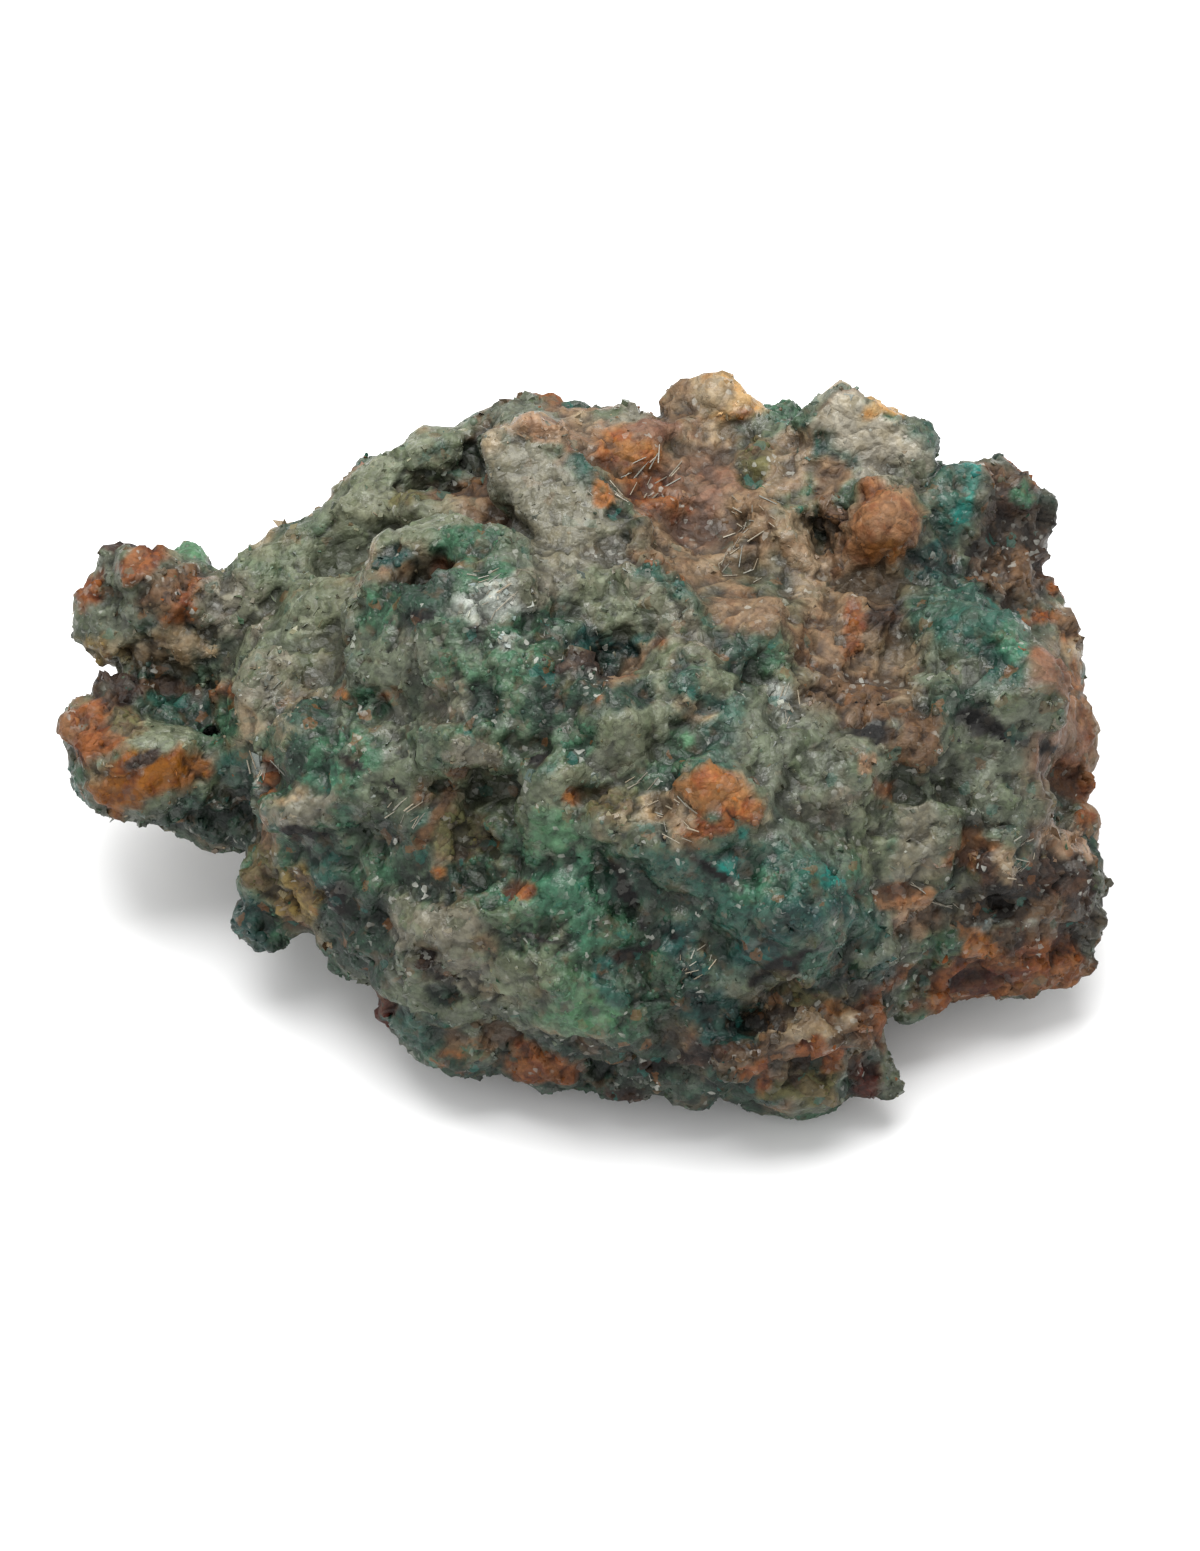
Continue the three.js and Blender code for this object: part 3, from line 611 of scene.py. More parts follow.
def cells_at(points, size, seed):
    """For each point, its Voronoi cell: the way to the middle, how far, and the cell's numbers."""
    shift = Vector([seed * step for step in CELL_STEP])
    to_middle, distance = np.empty((len(points), 3)), np.empty(len(points))
    own = np.empty((len(points), 3))
    for i, point in enumerate(points):
        place = Vector(point) / size + shift
        distances, middles = noise.voronoi(place)
        to_middle[i], distance[i] = middles[0] - place, distances[0]
        own[i] = noise.cell_vector(middles[0] * 37.7)  # far apart, so that no two cells are alike
    return to_middle * size, distance, own * 2 - 1


def relief_at(points, rows):
    """How far the crust stands out at each point, in mm."""
    coarse, copper = rows[:, COARSE], rows[:, KIND_SHARES][:, KINDS.index("copper")]
    broken, grown = np.zeros(len(points)), np.zeros(len(points))
    for seed, (size, step, tilt) in enumerate(BLOCKS):
        to_middle, _, own = cells_at(points, size, seed + 1)
        broken += step * own[:, 0] + tilt * (to_middle * np.roll(own, 1, axis=1)).sum(axis=1)
    for seed, (size, height) in enumerate(GRAPES):
        _, distance, own = cells_at(points, size, seed + 5)
        grown += height * (DOME - distance) * (1 + UNLIKE * own[:, 0])
    crumbs = sum(height * noise_at(points, size, 20) for size, height in CRUMBS)
    domed = SHARED + (1 - SHARED) * copper
    return coarse * (broken * (1 + SHARED - domed) + grown * domed + crumbs)


relief = relief_at(rounded, rows)
free = np.clip((rounded[:, 2] - FLAT_FOOT) / EASE, 0, 1)
crusted = rounded + normals_of(skin.data) * (relief * free)[:, None]
crusted[:, 2] = np.maximum(crusted[:, 2], 0)
foot = rounded[:, 2] < FLAT_FOOT
crusted[foot] = rounded[foot]
move_to(skin.data, crusted)
print("relief from", round(relief.min(), 2), "to", round(relief.max(), 2), "mm")

# %% [markdown]
# ## Hollows and crests
# The colour is darkened in the hollows of the crust, as painted shade, and lightened on its crests,
# as painted light. How hollow a point is comes from how far the mean of its surroundings stands out
# from it, close by and further off. What faces up is made paler and the rest darker, as painted light.

# %% Hollows and crests
SURROUNDINGS = ((4, 2.2), (40, 0.8), (160, 0.3))  # passes of averaging, and the weight of each
LEVEL = 0.46  # what flat ground gets on the scale from a crest, 0, to a hollow, 1
TOPS = 60  # passes of averaging that tell which parts of the stone face up


def hollow_at(places, normals, edges, passes):
    """How far each point lies below the mean of its surroundings, in mm."""
    return ((averaged(places, edges, passes) - places) * normals).sum(axis=1)


normals = normals_of(skin.data)
depths = (weight * hollow_at(crusted, normals, edges, passes) for passes, weight in SURROUNDINGS)
hollow = np.clip(sum(depths, LEVEL), 0, 1)
faces_up = averaged(normals, edges, TOPS)[:, 2]
rows[:, COLOUR] *= (0.86 + 0.26 * np.clip(faces_up, -0.3, 1))[:, None]  # painted light: the tops paler, the sides and undersides darker


def keep_colours(mesh, colours, name="mineral"):
    layer = mesh.color_attributes.new(name, "FLOAT_COLOR", "POINT")
    padded = np.concatenate([colours, np.ones((len(colours), 1))], axis=1)
    layer.data.foreach_set("color", padded.astype(np.float32).ravel())


def keep_values(mesh, name, values):
    layer = mesh.attributes.new(name, "FLOAT", "POINT")
    layer.data.foreach_set("value", values.astype(np.float32))


keep_colours(skin.data, rows[:, COLOUR])
keep_colours(skin.data, rows[:, COMPANY].reshape(-1, 3, 3).mean(axis=1), "companion")
keep_values(skin.data, "dullness", rows[:, ROUGH])
keep_values(skin.data, "coarseness", rows[:, COARSE])
keep_values(skin.data, "hollow", hollow)
print("hollow:", np.round(np.percentile(hollow, [5, 50, 95]), 2))

# %% [markdown]
# ## Grains
# Most of what glints on the stone is a crust of grains of 0.3 to 1 mm, with laths of up to 2.5 mm.
# Each kind has a few shapes of its own, made with bmesh operators: gypsum breaks into slanted tablets
# and laths, malachite grows stubby many-sided buds, and iron oxide crumbles.

# %% Shapes of the grains
def shape_of(grain):
    """A small bmesh as its points and its triangles."""
    bmesh.ops.triangulate(grain, faces=grain.faces)
    bmesh.ops.recalc_face_normals(grain, faces=grain.faces)
    grain.verts.index_update()
    points = np.array([vertex.co for vertex in grain.verts], float)
    corners = np.array([[vertex.index for vertex in face.verts] for face in grain.faces], np.int64)
    grain.free()
    return points, corners


def tablet(chance, size):
    """A slanted block with one chipped corner."""
    grain = bmesh.new()
    bmesh.ops.create_cube(grain, size=1, matrix=Matrix.Diagonal((*size, 1)))
    for vertex in grain.verts:
        vertex.co.x += vertex.co.z * chance.uniform(-0.5, 0.5)
        vertex.co.y += vertex.co.x * chance.uniform(-0.3, 0.3)
    cut = Vector((chance.uniform(-1, 1), chance.uniform(-1, 1), 1.2)).normalized()
    loose = [*grain.verts, *grain.edges, *grain.faces]
    top = max(vertex.co.dot(cut) for vertex in grain.verts)
    chipped = bmesh.ops.bisect_plane(
        grain, geom=loose, plane_co=cut * top * 0.72, plane_no=cut, clear_outer=True)
    rim = [part for part in chipped["geom_cut"] if isinstance(part, bmesh.types.BMEdge)]
    bmesh.ops.holes_fill(grain, edges=rim)
    bmesh.ops.translate(grain, verts=grain.verts, vec=(0, 0, 0.05))
    return shape_of(grain)


def crumb(chance, flatness):
    """A lump with no two faces alike."""
    grain = bmesh.new()
    bmesh.ops.create_icosphere(grain, subdivisions=1, radius=0.55)
    for vertex in grain.verts:
        vertex.co *= chance.uniform(0.7, 1.2)
        vertex.co.z *= flatness
    return shape_of(grain)


def bud(chance, sides):
    """A stubby crystal with a pointed or cut-off end."""
    grain = bmesh.new()
    bmesh.ops.create_cone(
        grain, cap_ends=True, segments=sides, radius1=0.55, radius2=chance.uniform(0.2, 0.42),
        depth=0.9)
    bmesh.ops.translate(grain, verts=grain.verts, vec=(0, 0, 0.1))
    for vertex in grain.verts:
        vertex.co.x *= chance.uniform(0.85, 1.15)
        vertex.co.z *= chance.uniform(0.8, 1.2)
    return shape_of(grain)


def needle(width, length):
    """A thin five-sided prism along the third axis, narrower at one end."""
    grain = bmesh.new()
    bmesh.ops.create_cone(
        grain, cap_ends=True, segments=5, radius1=width / 2, radius2=width / 3, depth=length)
    return shape_of(grain)


chance = np.random.default_rng(7)
BLOCKY = ((1.1, 0.8, 0.7), (1.3, 0.6, 0.6), (0.9, 0.9, 0.8), (1.6, 0.5, 0.5))
LONG = ((0.34, 0.14, 2.4), (0.5, 0.16, 2.0), (0.24, 0.2, 2.8))
TABLETS = [tablet(chance, size) for size in BLOCKY]
LATHS = [tablet(chance, size) for size in LONG]
CRUMBLE = [crumb(chance, flatness) for flatness in (0.8, 0.9, 1.0, 1.1)]
BUDS = [bud(chance, sides) for sides in (4, 5, 5, 6)]
for name, shapes in (("tablets", TABLETS), ("laths", LATHS), ("crumbs", CRUMBLE), ("buds", BUDS)):
    print(name, [len(corners) for _, corners in shapes], "faces")

# %% [markdown]
# ## Strewing the grains
# Particles would be quicker to set up, but they don't reach the exported model. So the places are
# drawn at random over the skin, more of them where the kind of mineral is at home, and the shapes
# are copied there as arrays and joined in one mesh. Each grain takes the colour of the mineral it
# sits on, a little lighter or darker. A few are half of a companion mineral, or like a neighbour.

# %% Strewing the grains
skin.data.calc_loop_triangles()
skin_triangles = read_out(skin.data.loop_triangles, "vertices", 3, np.int64)
skin_corners = crusted[skin_triangles]
first_sides, second_sides = (skin_corners[:, i] - skin_corners[:, 0] for i in (1, 2))
skin_areas = np.linalg.norm(np.cross(first_sides, second_sides), axis=1) / 2


def strewn(count, liking, chance):
    """Random places on the skin, more where the liking is high, and their nearest vertices."""
    weight = skin_areas * liking[skin_triangles].mean(axis=1)
    chosen = chance.choice(len(weight), size=count, p=weight / weight.sum())
    shares = chance.dirichlet((1, 1, 1), size=count)
    places = (skin_corners[chosen] * shares[:, :, None]).sum(axis=1)
    return places, skin_triangles[chosen, shares.argmax(axis=1)]


def frames_at(outwards, loose, chance):
    """A turned frame for each grain: its third axis points outwards, more or less."""
    third = outwards + loose * chance.normal(size=outwards.shape)
    third /= np.linalg.norm(third, axis=1)[:, None]
    first = np.cross(third, chance.normal(size=outwards.shape))
    first /= np.linalg.norm(first, axis=1)[:, None]
    return np.stack([first, np.cross(third, first), third], axis=2)


print(len(skin_triangles), "triangles to strew on,", round(skin_areas.sum()), "mm2")

# %% Joined grains
LIFT = 0.02  # mm above the table where a grain's lowest point may be


def joined(name, shapes, places, frames, sizes, colours, smooth, chance):
    """One mesh of all the grains, with each grain's colour on its points."""
    kinds = chance.integers(len(shapes), size=len(places))
    points, corners, tints, count = [], [], [], 0
    for kind, (shape_points, shape_corners) in enumerate(shapes):
        mine = np.flatnonzero(kinds == kind)
        scaled = shape_points[None] * sizes[mine][:, None, None]
        turned = np.einsum("gij,gpj->gpi", frames[mine], scaled) + places[mine][:, None]
        firsts = count + np.arange(len(mine)) * len(shape_points)
        corners.append((shape_corners[None] + firsts[:, None, None]).reshape(-1, 3))
        points.append(turned.reshape(-1, 3))
        tints.append(np.repeat(colours[mine], len(shape_points), axis=0))
        count += len(mine) * len(shape_points)
    points, corners = np.concatenate(points), np.concatenate(corners)
    mesh = bpy.data.meshes.new(name)
    mesh.vertices.add(len(points))
    mesh.loops.add(corners.size)
    mesh.polygons.add(len(corners))
    mesh.loops.foreach_set("vertex_index", corners.ravel().astype(np.int32))
    mesh.polygons.foreach_set("loop_start", np.arange(0, corners.size, 3, dtype=np.int32))
    points[:, 2] = np.maximum(points[:, 2], LIFT)
    move_to(mesh, points)
    mesh.update(calc_edges=True)
    mesh.validate()
    keep_colours(mesh, np.concatenate(tints))
    if smooth:
        mesh.shade_smooth()
    else:
        mesh.shade_flat()
    piece = bpy.data.objects.new(name, mesh)
    bpy.context.scene.collection.objects.link(piece)
    print(name, len(places), "grains,", len(mesh.polygons), "faces")
    return piece


# %% The crust of grains
SUNK = 0.46  # share of its size that a grain sits in the crust
SMALLEST, LARGEST = 0.3, 0.95  # mm
MIXED = 0.16  # share of the grains that are half of another mineral
BESIDE = 1.0  # mm, about, to where a stray grain has its colour from
CLEAR_OF_TABLE = 1.4  # mm above the table where the grains begin
WARMTH = 0.06  # how far a grain's red and blue stray from its mineral's
STRAY_HOME = 0.02  # how much each kind likes the other minerals, beside its own
UNEVEN = 0.35  # how much the size of the grains differs from place to place


def companions_of(vertices, chance):
    """For each vertex, the colour of one mineral that is found mixed with its own."""
    company = rows[vertices, COMPANY].reshape(-1, 3, 3)
    return company[np.arange(len(vertices)), chance.integers(3, size=len(vertices))]


def varied(colours, chance, spread):
    """Colours made a little lighter, darker, warmer or cooler, each by its own amount."""
    bright = np.exp(spread * chance.normal(size=(len(colours), 1)))
    warm = 1 + WARMTH * chance.normal(size=(len(colours), 1)) * np.array([[1.0, 0.0, -1.0]])
    return np.clip(colours * bright * warm, 0.004, 0.86)


def grain_crust(name, shapes, count, kind, sizes, loose, seed, spread, stray=0.1):
    """A joined piece of grains on one kind of mineral. Sizes: the usual one in mm, and a spread."""
    chance = np.random.default_rng(seed)
    home = STRAY_HOME + rows[:, KIND_SHARES][:, KINDS.index(kind)] * rows[:, COARSE]
    clear = (crusted[:, 2] > CLEAR_OF_TABLE) * (1.25 - 0.9 * hollow)  # fewer in the hollows
    places, vertices = strewn(count, home * clear, chance)
    coarse = 1 + UNEVEN * noise_at(places, 6, seed)
    scale = sizes[0] * np.exp(sizes[1] * chance.normal(size=count)) * coarse
    scale = np.clip(scale, SMALLEST, LARGEST)
    own = rows[vertices, COLOUR]
    colours = varied(own, chance, spread)
    company = chance.random(count) < MIXED
    mixed = varied((own + companions_of(vertices, chance)) / 2, chance, spread)
    colours[company] = mixed[company]
    neighbours = chance.permutation(count)[: int(stray * count)]
    aside = chance.normal(scale=BESIDE, size=(len(neighbours), 3))
    beside = minerals_at(places[neighbours] + aside)
    colours[neighbours] = varied(beside[:, COLOUR], chance, spread)
    # Painted shade: grains in the hollows are darker, and those on the crests a little lighter.
    shade = 1.12 - 0.5 * hollow[vertices]
    frames = frames_at(normals[vertices], loose, chance)
    places = places - normals[vertices] * (SUNK * scale)[:, None]
    smooth = kind != "gypsum"
    return joined(name, shapes, places, frames, scale, colours * shade[:, None], smooth, chance)


gypsum_grains = grain_crust(
    "gypsum_grains", [*TABLETS, *CRUMBLE], 5200, "gypsum", (0.60, 0.34), 0.45, 11, 0.10)
malachite_buds = grain_crust(
    "malachite_buds", [*BUDS, *CRUMBLE], 6500, "copper", (0.66, 0.34), 0.6, 12, 0.14)
rust_crumbs = grain_crust("rust_crumbs", CRUMBLE, 4000, "iron", (0.58, 0.34), 0.6, 13, 0.12)
gypsum_laths = grain_crust("gypsum_laths", LATHS, 700, "gypsum", (0.40, 0.35), 1.6, 14, 0.3, 0.5)

# %% [markdown]
# ## Needles
# Where the brown valley meets the pale slabs, thin clear gypsum needles lie on the crust, nearly side
# by side, and a few swarms of them catch the light elsewhere. They lie in the surface instead of
# standing on it, so each gets a frame whose long axis runs along the skin.

# %% Needles
NEEDLE_FIELDS = {  # across, up and reach in mm, lean in degrees, number
    "valley_edge": (5.8, 23.0, 2.2, 46, 16),
    "valley_glints": (2.0, 20.6, 1.6, -50, 8),
    "fishbone": (13.6, 16.0, 2.4, 52, 18),
    "fishbone_ribs": (14.5, 19.4, 2.6, -28, 14),
    "cluster": (-8.0, 12.2, 2.8, 30, 16),
    "fang": (17.0, 3.6, 1.6, 70, 8),
    "block": (7.8, -6.4, 2.0, -30, 14),
    "block_under": (5.0, -3.8, 1.6, 40, 6),
    "gap": (9.6, -18.8, 1.8, 60, 14),
    "twig": (-14.8, -5.2, 2.0, 50, 10),
    "step": (-27.0, -2.0, 1.6, 80, 8),
    "gully": (29.6, -13.6, 2.2, -40, 10),
    "warts": (36.6, -9.6, 2.4, 20, 12),
}
LEAN_SPREAD = 14  # degrees by which the needles of a field differ, about
OFF_SKIN = 0.08  # mm between the skin and a needle's middle


def needle_fields(shapes, seed):
    """A joined piece of needles that lie along the skin in each field, leaning alike."""
    chance = np.random.default_rng(seed)
    view = seen_at(crusted)
    facing = normals @ TOWARDS_EYE > 0.2  # not on steep sides, where they would stand out
    chosen, leans = [], []
    for across, up, reach, lean, count in NEEDLE_FIELDS.values():
        near = np.flatnonzero(facing & (np.hypot(view[:, 0] - across, view[:, 1] - up) < reach))
        chosen.append(chance.choice(near, size=count))
        leans.append(np.radians(lean + LEAN_SPREAD * chance.normal(size=count)))
    chosen, leans = np.concatenate(chosen), np.concatenate(leans)[:, None]
    outwards = normals[chosen]
    along = np.cos(leans) * ACROSS + np.sin(leans) * UP_VIEW
    along -= outwards * (along * outwards).sum(axis=1)[:, None]
    along /= np.linalg.norm(along, axis=1)[:, None]
    aside = np.cross(outwards, along)
    frames = np.stack([aside, np.cross(along, aside), along], axis=2)
    sizes = np.clip(0.8 * np.exp(0.3 * chance.normal(size=len(chosen))), 0.4, 1.2)
    pale = np.tile(MINERALS["pale_selenite"][0], (len(chosen), 1))
    places = crusted[chosen] + outwards * OFF_SKIN
    colours = varied(pale, chance, 0.2)
    return joined("gypsum_needles", shapes, places, frames, sizes, colours, False, chance)


NEEDLES = [needle(width, length) for width, length in ((0.12, 1.4), (0.14, 1.0), (0.11, 1.9))]
gypsum_needles = needle_fields(NEEDLES, 15)

# %% [markdown]
# ## Writing a shader as sums
# A material is a tree of nodes, and most of the tree is arithmetic. The small class below wraps a
# socket, so that the arithmetic can be read as ordinary expressions. Colours and vectors go through
# Mix and Vector Math nodes, because a Math node turns a colour grey.

# %% Writing a shader as sums
class Value:
    """A number that changes over a surface."""

    def __init__(self, finish, socket):
        self.finish, self.socket = finish, socket

    def maths(self, operation, first, second):
        return self.finish.node("ShaderNodeMath", {"operation": operation}, {0: first, 1: second})

    def __add__(self, other):
        return self.maths("ADD", self, other)

    def __sub__(self, other):
        return self.maths("SUBTRACT", self, other)

    def __rsub__(self, other):
        return self.maths("SUBTRACT", other, self)

    def __mul__(self, other):
        return self.maths("MULTIPLY", self, other)

    __radd__, __rmul__ = __add__, __mul__


class Finish:
    """The node tree of one material."""

    def __init__(self, name):
        self.material = bpy.data.materials.new(name)
        self.material.use_nodes = True
        self.tree = self.material.node_tree
        self.tree.nodes.clear()
        self.place = self.node("ShaderNodeTexCoord", output="Object")

    def node(self, kind, settings=None, sockets=None, output=0):
        """Any node: its settings first, then the values or links of its sockets."""
        made = self.tree.nodes.new(kind)
        for name, setting in (settings or {}).items():
            setattr(made, name, setting)
        for name, given in (sockets or {}).items():
            if isinstance(given, Value):
                self.tree.links.new(given.socket, made.inputs[name])
            else:
                made.inputs[name].default_value = given
        return Value(self, made.outputs[output]) if made.outputs else None

    def attribute(self, name, output="Fac"):
        return self.node("ShaderNodeAttribute", {"attribute_name": name}, output=output)

    def clouds(self, size, detail):
        """Soft noise from 0 to 1 with bumps of a size in mm."""
        return self.node("ShaderNodeTexNoise", {}, {
            "Vector": self.place, "Scale": 1 / (size * MM), "Detail": detail, "Roughness": 0.6})

    def cells(self, size, output="Distance", feature="F1", place=None):
        """A Voronoi pattern with cells of a size in mm."""
        return self.node("ShaderNodeTexVoronoi", {"feature": feature}, {
            "Vector": place or self.place, "Scale": 1 / (size * MM)}, output=output)

    def bent(self, size):
        """Places moved about by up to a size in mm, so that a pattern's lines aren't straight."""
        cloud = self.node("ShaderNodeTexNoise", {}, {
            "Vector": self.place, "Scale": 0.5 / (size * MM), "Detail": 2.0}, output="Color")
        moved = self.joined("SUBTRACT", cloud, (0.5, 0.5, 0.5))
        return self.joined("ADD", self.place, self.scaled(moved, 2 * size * MM))

    def part(self, colour, channel):
        return self.node("ShaderNodeSeparateColor", {}, {"Color": colour}, output=channel)

    def mixed(self, share, first, second):
        """Two colours as one: sockets 0, 6 and 7 are the factor and the two colours."""
        settings = {"data_type": "RGBA", "clamp_factor": True}
        return self.node("ShaderNodeMix", settings, {0: share, 6: first, 7: second}, output=2)

    def scaled(self, vector, amount):
        return self.node("ShaderNodeVectorMath", {"operation": "SCALE"}, {0: vector, "Scale": amount})

    def joined(self, operation, first, second):
        return self.node("ShaderNodeVectorMath", {"operation": operation}, {0: first, 1: second})

    def ranged(self, value, low, high, new_low, new_high):
        return self.node("ShaderNodeMapRange", {}, {
            "Value": value, "From Min": low, "From Max": high, "To Min": new_low, "To Max": new_high})

    def rising(self, value, low, high, top=1.0):
        """0 where a value is below the lower limit, rising to the top at the upper one."""
        return self.ranged(value, low, high, 0.0, top)

    def bump(self, height, depth, normal=None):
        """Relief from a height that runs from 0 to 1 and a depth in mm."""
        sockets = {"Height": height, "Distance": depth * MM, "Strength": 1.0}
        if normal is not None:
            sockets["Normal"] = normal
        return self.node("ShaderNodeBump", {}, sockets)

    def surface(self, sockets):
        shader = self.node("ShaderNodeBsdfPrincipled", {}, sockets)
        self.node("ShaderNodeOutputMaterial", {}, {"Surface": shader})
        return self.material

    def facets(self, own, tilt):
        """Normals that give each cell of a pattern its own flat face, from the cell's own colour."""
        lean = self.scaled(self.joined("SUBTRACT", own, (0.5, 0.5, 0.5)), tilt)
        outwards = self.node("ShaderNodeNewGeometry", output="Normal")
        return self.joined("NORMALIZE", self.joined("ADD", outwards, lean), (0, 0, 0))


# %% [markdown]
# ## The skin
# Between the bigger grains the stone is a crust of granules of one to two millimetres, grown
# together, with dark dust in the joints. Two Voronoi patterns, bent by noise, draw them: each cell
# has its own brightness, mineral and tilt, and darkens towards its joints. A third, finer one is the
# sugar of tiny crystals on top. A painted texture could do the same, but only for one stone.

# %% The patterns of the skin
class Crust:
    """The patterns that the skin's colour, shine and relief share."""

    def __init__(self, finish):
        self.finish = finish
        self.coarse = finish.attribute("coarseness")
        self.own, self.height = self.granules(2.1, 0.30)
        self.small_own, self.small_height = self.granules(1.05, 0.40)
        self.sugar = finish.cells(0.42, "Color")
        self.glint = finish.rising(finish.part(self.small_own, "Blue"), 0.88, 0.92)

    def granules(self, size, joint):
        """Granules of a size in mm: their own random colour, and a height, 0 in the joints."""
        bent = self.finish.bent(size * 0.22)
        own = self.finish.cells(size, "Color", place=bent)
        gap = self.finish.cells(size, feature="DISTANCE_TO_EDGE", place=bent)
        return own, self.finish.rising(gap, 0.0, joint)


# %% [markdown]
# ## The skin's colour
# Every few granules one is of another mineral, and in clouds the colour is deeper, as where the
# crystals are clear and light goes far in. Dust lies in the joints, and the hollows get painted shade
# and the crests painted light. On top come faint pale painted glints, stains of rust, small spots of
# turquoise and orange, and swarms of painted sparkles.

# %% The skin's colour
DEEPENING = 4.0  # a deep colour is the colour times itself, times this


def mixed_minerals(finish, crust):
    """The minerals of the granules, and the deeper tone of some clouds."""
    odd = finish.rising(finish.part(crust.own, "Red"), 0.6, 0.8, 0.45)
    small_odd = finish.rising(finish.part(crust.small_own, "Red"), 0.78, 0.88, 0.4)
    mineral, companion = (finish.attribute(name, "Color") for name in ("mineral", "companion"))
    mixed = finish.mixed(odd + small_odd, mineral, companion)
    deep = finish.joined("MULTIPLY", mixed, finish.scaled(mixed, DEEPENING))
    return finish.mixed(finish.rising(finish.clouds(1.5, 3.0), 0.47, 0.62, 0.55), mixed, deep)


def brightness(finish, crust):
    """How light the skin is: by granule, cloud and crystal; dark joints; painted shade in hollows,
    light on crests.
    """
    uneven = (
        (finish.part(crust.own, "Green") - 0.5) * 0.36
        + (finish.part(crust.small_own, "Green") - 0.5) * 0.24
        + (finish.clouds(2.4, 3.0) - 0.5) * 0.6
        + (finish.clouds(0.5, 3.0) - 0.5) * 0.5
        + (finish.part(crust.sugar, "Green") - 0.5) * 0.6
        - (1.0 - crust.height) * 0.34
        - (1.0 - crust.small_height) * 0.16
    )
    # Painted shade in the hollows and painted light on the crests.
    painted_shade_by_hollow = finish.ranged(finish.attribute("hollow"), 0.35, 0.95, 1.12, 0.38)
    return (1.41 + uneven * (0.55 + crust.coarse * 0.45)) * painted_shade_by_hollow


# %% Painted glints, stains, spots and painted sparkles
# Colours of the painted glints, the rust stains and the painted sparkles.
PAINTED_GLINT, STAIN, PAINTED_SPARKLE = (0.22, 0.22, 0.19, 1), (0.085, 0.05, 0.025, 1), (0.36, 0.36, 0.32, 1)


def flecks_and_painted_glints(finish, crust, colour):
    """A colour with painted glints, stains, spots and painted sparkles on it. Each step mixes one more
    thing over those before.
    """
    colour = finish.mixed(crust.glint * 0.12, colour, PAINTED_GLINT)
    stained = finish.rising(finish.clouds(1.6, 2.0), 0.58, 0.68, 0.4)
    colour = finish.mixed(stained * crust.coarse, colour, STAIN)
    own = finish.cells(0.9, "Color", place=finish.bent(0.3))
    spot = finish.rising(finish.part(own, "Red"), 0.95, 0.97, 0.42)
    rusty = finish.rising(finish.part(own, "Green"), 0.45, 0.5)
    blue, orange = ((*MINERALS[name][0], 1) for name in ("turquoise", "orange"))
    colour = finish.mixed(spot * crust.coarse, colour, finish.mixed(rusty, blue, orange))
    swarm = finish.rising(finish.clouds(3.6, 2.0), 0.50, 0.66)
    painted_sparkle_mask = finish.rising(finish.part(crust.sugar, "Red"), 0.92, 0.95, 0.7)
    return finish.mixed(painted_sparkle_mask * swarm * (0.3 + crust.coarse * 0.7), colour, PAINTED_SPARKLE)


# %% The skin's finish
def skin_finish():
    finish = Finish("ore_crust")
    crust = Crust(finish)
    lit = finish.scaled(mixed_minerals(finish, crust), brightness(finish, crust))
    tilted = finish.facets(crust.small_own, 0.14 + crust.coarse * 0.16)
    rounded = finish.bump(crust.small_height * 0.4 + crust.height, 0.16, tilted)
    grit = finish.bump(finish.part(crust.sugar, "Blue") + finish.clouds(0.35, 2.0), 0.03, rounded)
    return finish.surface({
        "Base Color": flecks_and_painted_glints(finish, crust, lit),
        "Roughness": finish.attribute("dullness") - crust.glint * 0.2,
        "IOR": 1.55, "Specular IOR Level": 0.25, "Normal": grit})


skin.data.materials.clear()
skin.data.materials.append(skin_finish())
skin.data.shade_smooth()
print("skin finished:", len(skin.data.materials[0].node_tree.nodes), "nodes")

# %% [markdown]
# ## The grains' own finishes
# Gypsum is clear when clean: light goes in, so it gets transmission and the refractive index of the
# mineral, 1.52, with a rough surface that keeps it from looking like window glass. Malachite is silky
# and opaque. Iron oxide is dull, with a powdery bump.

# %% The grains' finishes
GYPSUM = {"IOR": 1.52, "Transmission Weight": 0.25, "Specular IOR Level": 0.4}
MALACHITE = {"IOR": 1.66, "Specular IOR Level": 0.25}
IRON_OXIDE = {"IOR": 1.45, "Specular IOR Level": 0.2}


def grain_finish(name, rough, spread, bright, sockets):
    """Grains with cloudy colour and roughness: the mean, and how far the roughness spreads."""
    finish = Finish(name)
    mineral = finish.attribute("mineral", "Color")
    cloud = finish.clouds(0.5, 4.0)
    colour = finish.scaled(mineral, bright * (0.75 + cloud * 0.5))
    grit = finish.bump(finish.clouds(0.16, 2.0), 0.03)
    return finish.surface({
        "Base Color": colour, "Roughness": rough + (cloud - 0.5) * spread, "Normal": grit, **sockets})


gypsum_finish = grain_finish("clear_gypsum", 0.30, 0.3, 1.5, GYPSUM)
malachite_finish = grain_finish("silky_malachite", 0.40, 0.4, 1.1, MALACHITE)
rust_finish = grain_finish("powdery_rust", 0.72, 0.4, 1.1, IRON_OXIDE)
for piece, material in (
    (gypsum_grains, gypsum_finish),
    (gypsum_laths, gypsum_finish),
    (gypsum_needles, gypsum_finish),
    (malachite_buds, malachite_finish),
    (rust_crumbs, rust_finish),
):
    piece.data.materials.append(material)
    print(piece.name, "is", material.name)

# %% [markdown]
# ## Where the pieces belong
# The stone has one body, so everything rides on it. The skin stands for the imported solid.

# %% Where the pieces belong
for piece in (skin, gypsum_grains, gypsum_laths, gypsum_needles, malachite_buds, rust_crumbs):
    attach(piece, "root")
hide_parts("specimen")

# %% [markdown]
# ## Table, light and camera
# The stone lies on a white sheet in the light of one large soft lamp above and behind it, with pale
# walls all round. That gives the short soft shadow in front. The lens is long, so the stone keeps its
# proportions.

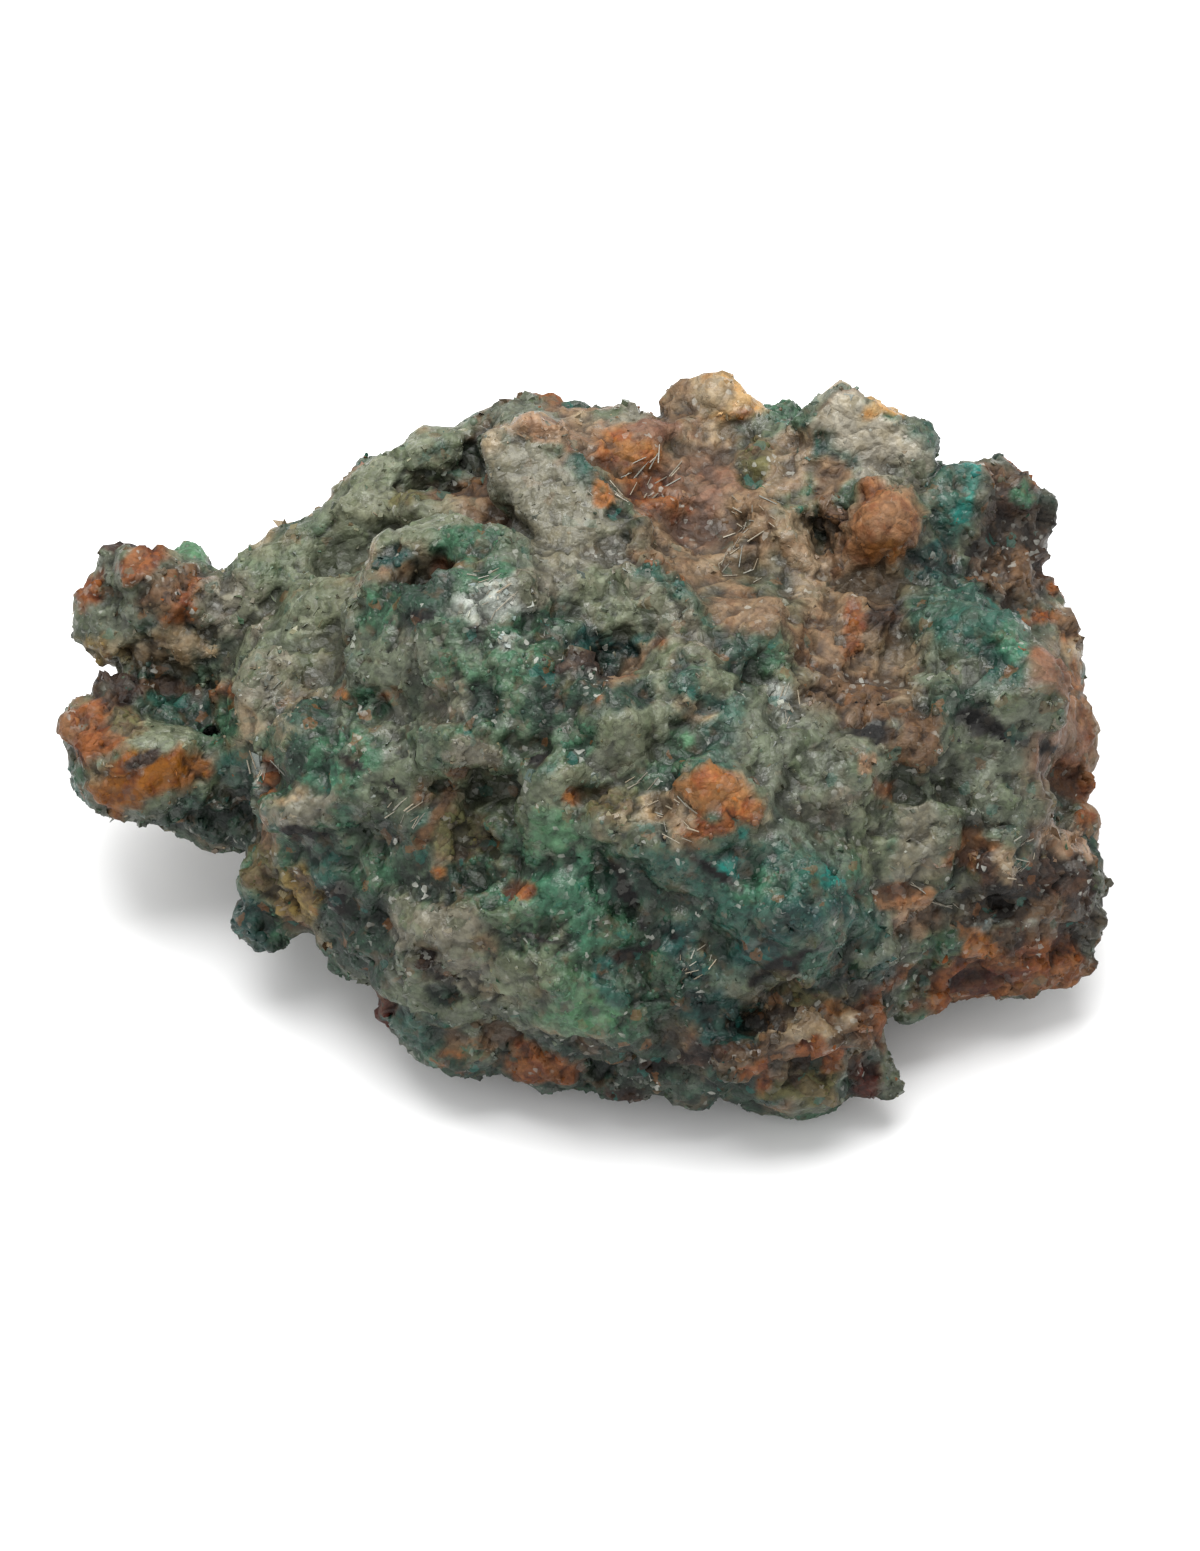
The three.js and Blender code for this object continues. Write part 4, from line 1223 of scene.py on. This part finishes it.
# %% Table and light
SHEET = (0.93, 0.93, 0.93, 1)
ROOM_LIGHT = 0.95
LAMP_PLACE, AIM = (-0.03, 0.13, 0.53), (0, 0, 0.015)  # metres
LAMP_SIZE, LAMP_POWER = 0.46, 4.45  # metres and watts


def white_sheet():
    sheet = bmesh.new()
    bmesh.ops.create_grid(sheet, x_segments=1, y_segments=1, size=1.5)
    mesh = bpy.data.meshes.new("table")
    sheet.to_mesh(mesh)
    sheet.free()
    table = bpy.data.objects.new("table", mesh)
    bpy.context.scene.collection.objects.link(table)
    finish = Finish("white_sheet")
    mesh.materials.append(finish.surface({"Base Color": SHEET, "Roughness": 0.9}))
    return table


white_sheet()
scene = bpy.context.scene
scene.world = bpy.data.worlds.new("pale_room")
scene.world.use_nodes = True
room = scene.world.node_tree.nodes["Background"].inputs
room["Color"].default_value = (1, 1, 1, 1)
room["Strength"].default_value = ROOM_LIGHT
light = bpy.data.lights.new("soft_lamp", "AREA")
light.size, light.energy = LAMP_SIZE, LAMP_POWER
lamp = bpy.data.objects.new("soft_lamp", light)
lamp.location = LAMP_PLACE
lamp.rotation_euler = (Vector(AIM) - lamp.location).to_track_quat("-Z", "Y").to_euler()
scene.collection.objects.link(lamp)
scene.view_settings.view_transform = "Standard"
print("lamp at", LAMP_PLACE, "m,", LAMP_SIZE, "m wide")

# %% Camera
PICTURE = (1200, 1551)
PIXEL = 0.0849 * MM  # size of a pixel at the stone's middle
STONE_PIXEL = (582, 746)  # where the stone's middle is in the picture
LENS, SENSOR = 200, 36

camera = bpy.data.cameras.new("camera")
camera.lens, camera.sensor_width = LENS, SENSOR
eye = bpy.data.objects.new("camera", camera)
back, up = Vector(TOWARDS_EYE), Vector(UP_VIEW)
aside = Vector(ACROSS) * (PICTURE[0] / 2 - STONE_PIXEL[0]) * PIXEL
below = up * (STONE_PIXEL[1] - PICTURE[1] / 2) * PIXEL
distance = PICTURE[1] * PIXEL * LENS / SENSOR
eye.location = Vector(MIDDLE) * MM + aside + below + back * distance
eye.rotation_mode = "QUATERNION"
eye.rotation_quaternion = (-back).to_track_quat("-Z", "Y")
scene.collection.objects.link(eye)
scene.camera = eye
print("camera", round(distance, 3), "m away")
